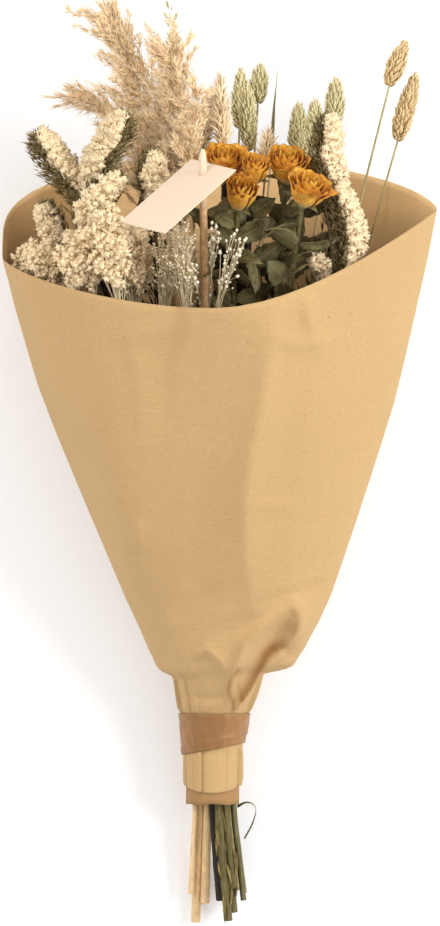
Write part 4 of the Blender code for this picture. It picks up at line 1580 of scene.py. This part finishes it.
def build_blade(straw):
    """A narrow grass blade that twists over its length."""
    green = plant_material("blade_green", tone("#9a9468"), 900, (1, 0.08, 1), 0.3, 0.2, tip=tone("#c9bb8c"))
    plant = plants("grass_blade")[0]
    share = np.linspace(0, 1, len(plant.head))[:, None]
    half = (1.6 * np.sin(np.pi * (0.18 + 0.82 * share)) ** 0.7 + 0.15) * MM
    grid, along = ribbon(plant.head, 0.5 + 1.3 * share, half, 0.35)
    stem = np.vstack([plant.stem, plant.head[1:6]])
    parts = [stalks([stem], 7, straw), sheets("blade", [grid], 0.25 * MM, green, along=[along])]
    finished("dried_grass_blade", parts, plant.node)


def build_twig():
    """A bare dark twig with three short side twigs."""
    bark = stem_material("twig_bark", tone("#4a3726"), 0.4)
    plant = plants("dry_twig")[0]
    whole = plant.whole.copy()
    whole[:, 3] *= 1 + 0.1 * np.sin(np.arange(len(whole)) * 1.7)
    tips = at_share(plant.head, (0.35, 0.6, 0.85))
    twigs = [
        branch(tip[:3], unit(np.array((way, 1.0, 0.3))), 9 * MM, NO_SAG, 5, 0.5 * MM, 0.25 * MM)
        for tip, way in zip(tips, (0.5, -0.6, 0.4))
    ]
    finished("dried_twig", [stalks([whole], 8, bark), stalks(twigs, 6, bark)], plant.node)


# ------------------------------------------------------------------ roses

# How each rose is turned: sideways and up from the line of its stem, and how open it is.
ROSE_POSES = {
    "rose_1": ((-0.10, 0.45), 0.8),
    "rose_2": ((0.10, 0.50), 0.5),
    "rose_3": ((0.15, 0.85), 0.3),
    "rose_4": ((-0.10, 0.45), 0.7),
    "rose_5": ((0.05, 0.30), 1.1),
    "rose_6": ((0.25, 0.20), 0.5),
}
FEWER_PETALS = {"rose_6": 12}
OLD_ROSES = ("rose_1", "rose_2")  # their thicker stems are bare and nearly black
PETAL_GRID, LEAF_GRID = (8, 11), (11, 7)
PETAL_WALL = LEAF_WALL = 0.3 * MM
SEPALS, HUSKS = 5, 6
HIP = ((-4, 2.0), (-1, 3.2), (2, 3.4))  # the swelling under the petals: places along it and radii, in mm


def unit_grid(rows, columns):
    """How far down a petal or leaf each point lies, from 0 to 1, and how far across it, from -1 to 1."""
    return np.meshgrid(np.linspace(0, 1, rows), np.linspace(-1, 1, columns), indexing="ij")


def wobble(chance, size, amount, waves):
    """A smooth random surface over a unit grid, for crumpled petals and leaves."""
    down, across = unit_grid(*size)
    height = np.zeros(size)
    for _ in range(waves):
        a, b = chance.uniform(1, 6, 2) * chance.choice((-1, 1), 2)
        wave = np.sin(a * across * 1.6 + b * down * 2.2 + chance.uniform(0, 6.28))
        height += wave / (1 + 0.3 * (abs(a) + abs(b)))
    return amount * height / math.sqrt(waves)


def petal(axis, side, up, centre, turn, radius, height, flare, width, curl, chance):
    """One petal: a cupped sheet round the rose's axis, its upper edge rolled out and ruffled."""
    down, across = unit_grid(*PETAL_GRID)
    edge = 1 - 0.18 * np.abs(across) ** 2.6 + 0.05 * np.cos(across * 6 + turn * 3)
    climb = down * edge
    swell = np.sin(np.pi * (0.12 + 0.52 * climb)) ** 0.9
    reach = radius * (0.15 + swell * 0.85) * (1 + flare * climb**3)
    roll = np.clip(climb - 0.7, 0, 1) / 0.3
    reach = reach + radius * curl * roll**1.5
    lift = height * (climb - 0.2 * curl * roll**2)
    span = width * (0.35 + 0.65 * np.sin(np.pi * np.clip(0.14 + 0.56 * down, 0, 1)))
    reach = reach + wobble(chance, PETAL_GRID, 0.11 * radius, 5) * (0.15 + down)
    lift = lift + wobble(chance, PETAL_GRID, 0.07 * height, 4) * down
    angle = turn + across * span
    out = np.cos(angle)[..., None] * side + np.sin(angle)[..., None] * up
    return centre + out * reach[..., None] + axis * lift[..., None]


def rose_bloom(plant, petals, tilt, openness, material):
    """The head of one rose, turned from the line of its stem: its petals, its base, its own three directions
    and its radius.
    """
    head, chance = plant.head, plant.chance
    foot, top = head[0, :3], head[-1, :3]
    radius = head[:, 3].max()
    axis = unit(unit(top - foot) + np.array((tilt[0], 0.0, tilt[1])))
    side = unit(np.cross(axis, (0.0, 0.0, 1.0)))
    up = np.cross(side, axis)
    height = np.linalg.norm(top - foot) * 1.06
    base = (foot + top) / 2 - axis * height * 0.52
    grids, ages = [], []
    for place in range(petals):
        share = place / (petals - 1)  # from the heart outwards
        size = radius * (0.20 + 0.78 * share**0.8)
        tall = height * (0.98 - 0.20 * share * openness)
        flare = 0.02 + 0.18 * share * openness
        curl = (0.05 + 0.30 * share) * openness * chance.uniform(0.6, 1.4)
        width = 0.95 - 0.25 * share
        turn = place * GOLDEN_TURN
        grids.append(petal(axis, side, up, base, turn, size, tall, flare, width, curl, chance))
        ages.append(np.full(PETAL_GRID, share))
    downs = [unit_grid(*PETAL_GRID)[0]] * petals
    bloom = sheets("petals", grids, PETAL_WALL, material, along=downs, tint=ages)
    return bloom, base, (axis, side, up), radius


def leaf_grid(root, heading, face, length, width, fold, curl, chance):
    """A dried leaf: folded along its midrib, curled over its length and crumpled."""
    heading, face = unit(heading), np.asarray(face, float)
    face = unit(face - heading * np.dot(face, heading))
    across_way = np.cross(heading, face)
    down, across = unit_grid(*LEAF_GRID)
    notch = 1 + 0.08 * (-1) ** np.arange(len(down))[:, None] * (np.abs(across) > 0.99)
    half = 0.5 * width * np.maximum(np.sin(np.pi * down**0.8) ** 0.8 * notch, 0.03)
    curl = curl if abs(curl) > 0.05 else 0.05
    run = length * np.sin(curl * down) / curl
    lift = length * (1 - np.cos(curl * down)) / curl
    crumple = wobble(chance, LEAF_GRID, 0.10 * width, 6) * (0.3 + down)
    lift = lift + half * fold * np.abs(across) + crumple
    drift = across * half * (1 - 0.25 * abs(fold)) + wobble(chance, LEAF_GRID, 0.03 * width, 3)
    return root + heading * run[..., None] + face * lift[..., None] + across_way * drift[..., None]


def leaf_material(name, colour):
    """A dried leaf: grey-green, with a pale midrib and darker, browner edges."""
    material, tree, shader = base_material(name, 0.72, 0.25)
    fine = object_noise(tree, 420, detail=4.0)
    broad = object_noise(tree, 70, detail=3.0)
    body = ramp(tree, fine, ((0.3, scaled(colour, 0.55)), (0.5, colour), (0.72, scaled(colour, 1.5))))
    grey, brown = mixed(colour, tone("#8a8260"), 0.75), mixed(scaled(colour, 0.4), tone("#4a3824"), 0.5)
    body = blend(tree, ranged(tree, broad, 0.42, 0.66, 0.0, 0.75), body, grey)
    body = blend(tree, ranged(tree, broad, 0.40, 0.30, 0.0, 0.7), body, brown)
    across = attribute(tree, "tint")
    body = blend(tree, ranged(tree, across, 0.14, 0.0, 0.0, 0.55), body, tone("#958b64"))
    body = blend(tree, ranged(tree, across, 0.8, 1.0, 0.0, 0.5), body, scaled(colour, 0.5))
    tree.links.new(body, shader.inputs["Base Color"])
    bumped(tree, shader, fine, 0.5, 0.5 * MM)
    return material


def petal_material(name, colour):
    """A dried petal: pale at its foot, deeper above, with brown veins and a dark, shrivelled rim."""
    material, tree, shader = base_material(name, 0.72, 0.25, 0.1)
    fine = object_noise(tree, 700, (1, 0.5, 1), 3.0)
    broad = object_noise(tree, 150, detail=3.0)
    body = ramp(tree, fine, ((0.32, scaled(colour, 0.66)), (0.5, colour), (0.72, scaled(colour, 1.3))))
    body = blend(tree, ranged(tree, broad, 0.48, 0.72, 0.0, 0.75), body, tone("#b5691a"))
    body = blend(tree, ranged(tree, broad, 0.46, 0.3, 0.0, 0.75), body, tone("#f0c75c"))
    along = attribute(tree, "along")
    body = blend(tree, ranged(tree, along, 0.45, 0.0, 0.0, 0.9), body, tone("#d2c488"))
    body = blend(tree, ranged(tree, along, 0.9, 1.0, 0.0, 0.5), body, tone("#8e4d14"))
    tree.links.new(body, shader.inputs["Base Color"])
    bumped(tree, shader, fine, 0.5, 0.5 * MM)
    return material


def sepals(base, directions, radius, chance):
    """Small leaves that clasp the foot of the petals."""
    axis, side, up = directions
    leaves = []
    for turn in np.arange(SEPALS) * 2 * math.pi / SEPALS + chance.uniform(0, 1):
        out = side * math.cos(turn) + up * math.sin(turn)
        root, heading, face = base + out * 1.5 * MM, axis * 0.5 + out, out * -1 + axis
        leaves.append(leaf_grid(root, heading, face, radius * 1.1, radius * 0.42, 0.3, -0.5, chance))
    return leaves


def stem_leaves(stem, number, chance):
    """Crumpled leaves up the free part of a rose's stem."""
    free = stem[stem[:, 1] > stem[:, 1].max() - 125 * MM]
    way = frames(free)
    leaves = []
    for place in range(number):
        share = 0.02 + 0.92 * (place + chance.random() * 0.6) / number
        root = at_share(free, [share])[0, :3]
        turn = place * GOLDEN_TURN + chance.uniform(-0.4, 0.4)
        ahead, sideways, upwards = (unit(at_share(part, [share])[0]) for part in way)
        out = sideways * math.cos(turn) + upwards * abs(math.sin(turn)) * 0.5
        heading = ahead * chance.uniform(-0.1, 1.0) + out * chance.uniform(0.4, 0.9)
        length, width = chance.uniform(20, 36) * MM, chance.uniform(11, 18) * MM
        face = upwards + chance.normal(0, 0.55, 3)
        fold, curl = chance.uniform(-0.5, 0.8), chance.uniform(-1.6, 1.6)
        leaves.append(leaf_grid(root, heading, face, length, width, fold, curl, chance))
    return leaves


def clinging_husks(low, chance):
    """Dry husks that cling to the stem below the band."""
    husks = []
    for place in range(HUSKS):
        root = at_share(low, [0.12 + 0.14 * place])[0, :3]
        out = np.array((math.cos(place * 2.1), 0, 0.6 + 0.4 * math.sin(place * 2.1)))
        heading = unit(low[-1, :3] - low[0, :3]) * (-1) ** place + 0.08 * out
        root = root + unit(out) * 2.0 * MM
        length = chance.uniform(12, 22) * MM
        husks.append(leaf_grid(root, heading, out, length, 2.6 * MM, 0.9, 0.2, chance))
    return husks


def build_roses(settings):
    """Dried roses: crumpled petals, grey-green sepals, brittle leaves on dark stems."""
    petals = petal_material("rose_petals", tuple(settings.petal))
    green = leaf_material("rose_leaves", tuple(settings.leaf))
    dry = plant_material("rose_husks", tone("#a6925c"), 600, FINE_TWIG, 0.45, 0.35, tip=tone("#6b5c34"))
    bark, old_bark = (
        stem_material(name, tone(code), 0.5)
        for name, code in (("rose_stalk", "#6e6239"), ("old_rose_stalk", "#2c2218"))
    )
    band_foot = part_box("stem_band")[0].y
    down, across = unit_grid(*LEAF_GRID)
    for plant in plants("rose"):
        chance, old = plant.chance, plant.node in OLD_ROSES
        count = FEWER_PETALS.get(plant.node, settings.petals)
        bloom, base, directions, radius = rose_bloom(plant, count, *ROSE_POSES[plant.node], petals)
        axis = directions[0]
        end = (*(base - axis * 3 * MM), plant.bare[-1, 3])
        stem = eased(np.vstack([plant.bare[:-1], end]), 6 * MM)
        leaves = sepals(base, directions, radius, chance) + stem_leaves(stem, settings.leaves, chance)
        leaves = [grid for grid in leaves if within(grid[::2, ::3].reshape(-1, 3)).all()]
        low = stem[stem[:, 1] < band_foot]
        husks = [] if old or len(low) < 3 else clinging_husks(low, chance)
        if old:
            stem[:, 3] *= 1.2
        hip = [(*(base + axis * height * MM), thick * MM) for height, thick in HIP]
        along, beside = [down] * len(leaves), [np.abs(across)] * len(leaves)
        parts = [
            bloom,
            sheets("leaves", leaves, LEAF_WALL, green, along=along, tint=beside),
            stalks([knotted(stem, 45 * MM, 0.12)], 10, old_bark if old else bark),
            stalks([hip], 10, green),
        ]
        if husks:
            parts.append(sheets("husks", husks, LEAF_WALL, dry, along=[down] * len(husks)))
        finished(f"dried_{plant.node}", parts, plant.node)


# ------------------------------------------------------------------ card, pick and leaf

PICK_RADIUS = 2.5 * MM
LOOP_BALL = 4.6 * MM  # radius of the ball that gathers the loop leaf's points on the way along it


def build_card(settings):
    """The bare card on its wooden pick."""
    card = frame["nodes"]["tag_card"]
    colour = tuple(settings.card)
    material, tree, shader = base_material("card_board", 0.55, 0.35)
    fibre = object_noise(tree, 1300, detail=4.0)
    broad = object_noise(tree, 30, detail=2.0)
    body = ramp(tree, fibre, ((0.25, scaled(colour, 0.95)), (0.6, colour)))
    body = blend(tree, ranged(tree, broad, 0.35, 0.7, 0.0, 0.5), body, scaled(colour, 0.96))
    tree.links.new(body, shader.inputs["Base Color"])
    bumped(tree, shader, fibre, 0.06, 0.1 * MM)
    card.data.materials.clear()
    card.data.materials.append(material)
    path = eased(rings_of("tag_pick"), 3 * MM, 1)
    path[:, 3] = PICK_RADIUS * (1 + 0.02 * np.sin(np.linspace(0, 40, len(path))))
    path[-3:, 3] *= (0.92, 0.75, 0.45)
    wood = wood_material("pick_wood", tuple(settings.wood))
    finished("wooden_pick", [stalks([path], 14, wood)], "tag_pick")


def loop_line():
    """The middle of the loop leaf's CAD solid, followed from its left end."""
    points = np.array([vert.co for vert in frame["nodes"]["loop_leaf"].data.vertices], float)
    left = np.unique(np.round(points, 6), axis=0)
    path = [left[np.argmin(left[:, 0])]]
    while len(left):
        gap = np.linalg.norm(left - path[-1], axis=1)
        if gap.min() > LOOP_BALL:
            break
        path.append(left[gap < LOOP_BALL].mean(axis=0))
        left = left[gap >= LOOP_BALL]
    return eased(np.array(path), 2 * MM, 2)


def build_loop_leaf():
    """A dry leaf that loops out beside the cut ends."""
    finish = plant_material("dry_leaf", tone("#7d7548"), 800, (1, 0.3, 1), 0.4, 0.3)
    line = loop_line()
    share = np.linspace(0, 1, len(line))[:, None]
    grid, along = ribbon(line, 0.9 + 1.6 * share, (1.4 - 0.8 * share) * MM)
    leaf = sheets("leaf", [grid], LEAF_WALL, finish, along=[along])
    finished("dry_loop_leaf", [leaf], "loop_leaf")


# ------------------------------------------------------------------ operators


class BOUQUET_OT_stage(bpy.types.Operator):
    """Adds the pale floor, the soft lights and the camera"""

    bl_idname = "bouquet.stage"
    bl_label = "Stage"

    def execute(self, context):
        build_floor(context.scene.bouquet.stage)
        build_lights(context.scene.bouquet.stage)
        build_camera(context.scene.bouquet.stage)
        return {"FINISHED"}


class BOUQUET_OT_wrap(bpy.types.Operator):
    """Rolls the kraft paper round the bunch"""

    bl_idname = "bouquet.wrap"
    bl_label = "Paper wrap"

    def execute(self, context):
        build_wrap(context.scene.bouquet.paper)
        return {"FINISHED"}


class BOUQUET_OT_tape(bpy.types.Operator):
    """Winds the tape round the neck and the band round the stems"""

    bl_idname = "bouquet.tape"
    bl_label = "Tape and band"

    def execute(self, context):
        build_tape(context.scene.bouquet.paper)
        build_band(context.scene.bouquet.paper)
        return {"FINISHED"}


class BOUQUET_OT_plumes(bpy.types.Operator):
    """Grows the reed plumes"""

    bl_idname = "bouquet.plumes"
    bl_label = "Reed plumes"

    def execute(self, context):
        build_plumes(context.scene.bouquet.plume)
        return {"FINISHED"}


class BOUQUET_OT_statice(bpy.types.Operator):
    """Grows the statice"""

    bl_idname = "bouquet.statice"
    bl_label = "Statice"

    def execute(self, context):
        build_statice(context.scene.bouquet.flower)
        return {"FINISHED"}


class BOUQUET_OT_sea_lavender(bpy.types.Operator):
    """Grows the sea lavender"""

    bl_idname = "bouquet.sea_lavender"
    bl_label = "Sea lavender"

    def execute(self, context):
        build_sea_lavender(context.scene.bouquet.flower)
        return {"FINISHED"}


class BOUQUET_OT_fine_sprays(bpy.types.Operator):
    """Grows the gypsophila and the broom bloom"""

    bl_idname = "bouquet.fine_sprays"
    bl_label = "Gypsophila and broom bloom"

    def execute(self, context):
        build_fine_sprays(context.scene.bouquet.flower)
        return {"FINISHED"}


class BOUQUET_OT_canary_grass(bpy.types.Operator):
    """Grows the canary grass"""

    bl_idname = "bouquet.canary_grass"
    bl_label = "Canary grass"

    def execute(self, context):
        build_canary_grass(context.scene.bouquet.grass)
        return {"FINISHED"}


class BOUQUET_OT_foxtails(bpy.types.Operator):
    """Grows the foxtails"""

    bl_idname = "bouquet.foxtails"
    bl_label = "Foxtails"

    def execute(self, context):
        build_foxtails(context.scene.bouquet.grass)
        return {"FINISHED"}


class BOUQUET_OT_thin_grasses(bpy.types.Operator):
    """Grows the oat, the grass blade and the twig"""

    bl_idname = "bouquet.thin_grasses"
    bl_label = "Oat, blade and twig"

    def execute(self, context):
        straw = stem_material("oat_stalk", tone("#cdb98a"), 0.3)
        build_oat(straw)
        build_blade(straw)
        build_twig()
        return {"FINISHED"}


class BOUQUET_OT_roses(bpy.types.Operator):
    """Grows the roses with their leaves"""

    bl_idname = "bouquet.roses"
    bl_label = "Roses"

    def execute(self, context):
        build_roses(context.scene.bouquet.rose)
        return {"FINISHED"}


class BOUQUET_OT_card(bpy.types.Operator):
    """Finishes the card and its pick"""

    bl_idname = "bouquet.card"
    bl_label = "Card and pick"

    def execute(self, context):
        build_card(context.scene.bouquet.card)
        return {"FINISHED"}


class BOUQUET_OT_loop_leaf(bpy.types.Operator):
    """Shapes the dry leaf beside the cut ends"""

    bl_idname = "bouquet.loop_leaf"
    bl_label = "Loop leaf"

    def execute(self, context):
        build_loop_leaf()
        return {"FINISHED"}


OPERATORS = (
    BOUQUET_OT_stage,
    BOUQUET_OT_wrap,
    BOUQUET_OT_tape,
    BOUQUET_OT_plumes,
    BOUQUET_OT_statice,
    BOUQUET_OT_sea_lavender,
    BOUQUET_OT_fine_sprays,
    BOUQUET_OT_canary_grass,
    BOUQUET_OT_foxtails,
    BOUQUET_OT_thin_grasses,
    BOUQUET_OT_roses,
    BOUQUET_OT_card,
    BOUQUET_OT_loop_leaf,
)


class BOUQUET_PT_steps(bpy.types.Panel):
    """Lists the steps that build the bouquet"""

    bl_idname = "BOUQUET_PT_steps"
    bl_label = "Dried flower bouquet"
    bl_space_type = "VIEW_3D"
    bl_region_type = "UI"
    bl_category = "Bouquet"

    def draw(self, context):
        for operator in OPERATORS:
            self.layout.operator(operator.bl_idname)


CLASSES = (*SETTINGS.values(), BouquetSettings, *OPERATORS, BOUQUET_PT_steps)


def register():
    for found in CLASSES:
        bpy.utils.register_class(found)
    bpy.types.Scene.bouquet = PointerProperty(type=BouquetSettings)


def unregister():
    del bpy.types.Scene.bouquet
    for found in reversed(CLASSES):
        bpy.utils.unregister_class(found)


def main():
    register()
    for operator in OPERATORS:
        group, step = operator.bl_idname.split(".")
        getattr(getattr(bpy.ops, group), step)()
    # the shapes that were set on points are no pieces of their own
    for shape in [found for found in bpy.data.objects if not found.users_scene]:
        bpy.data.objects.remove(shape)


if __name__ == "__main__":
    main()
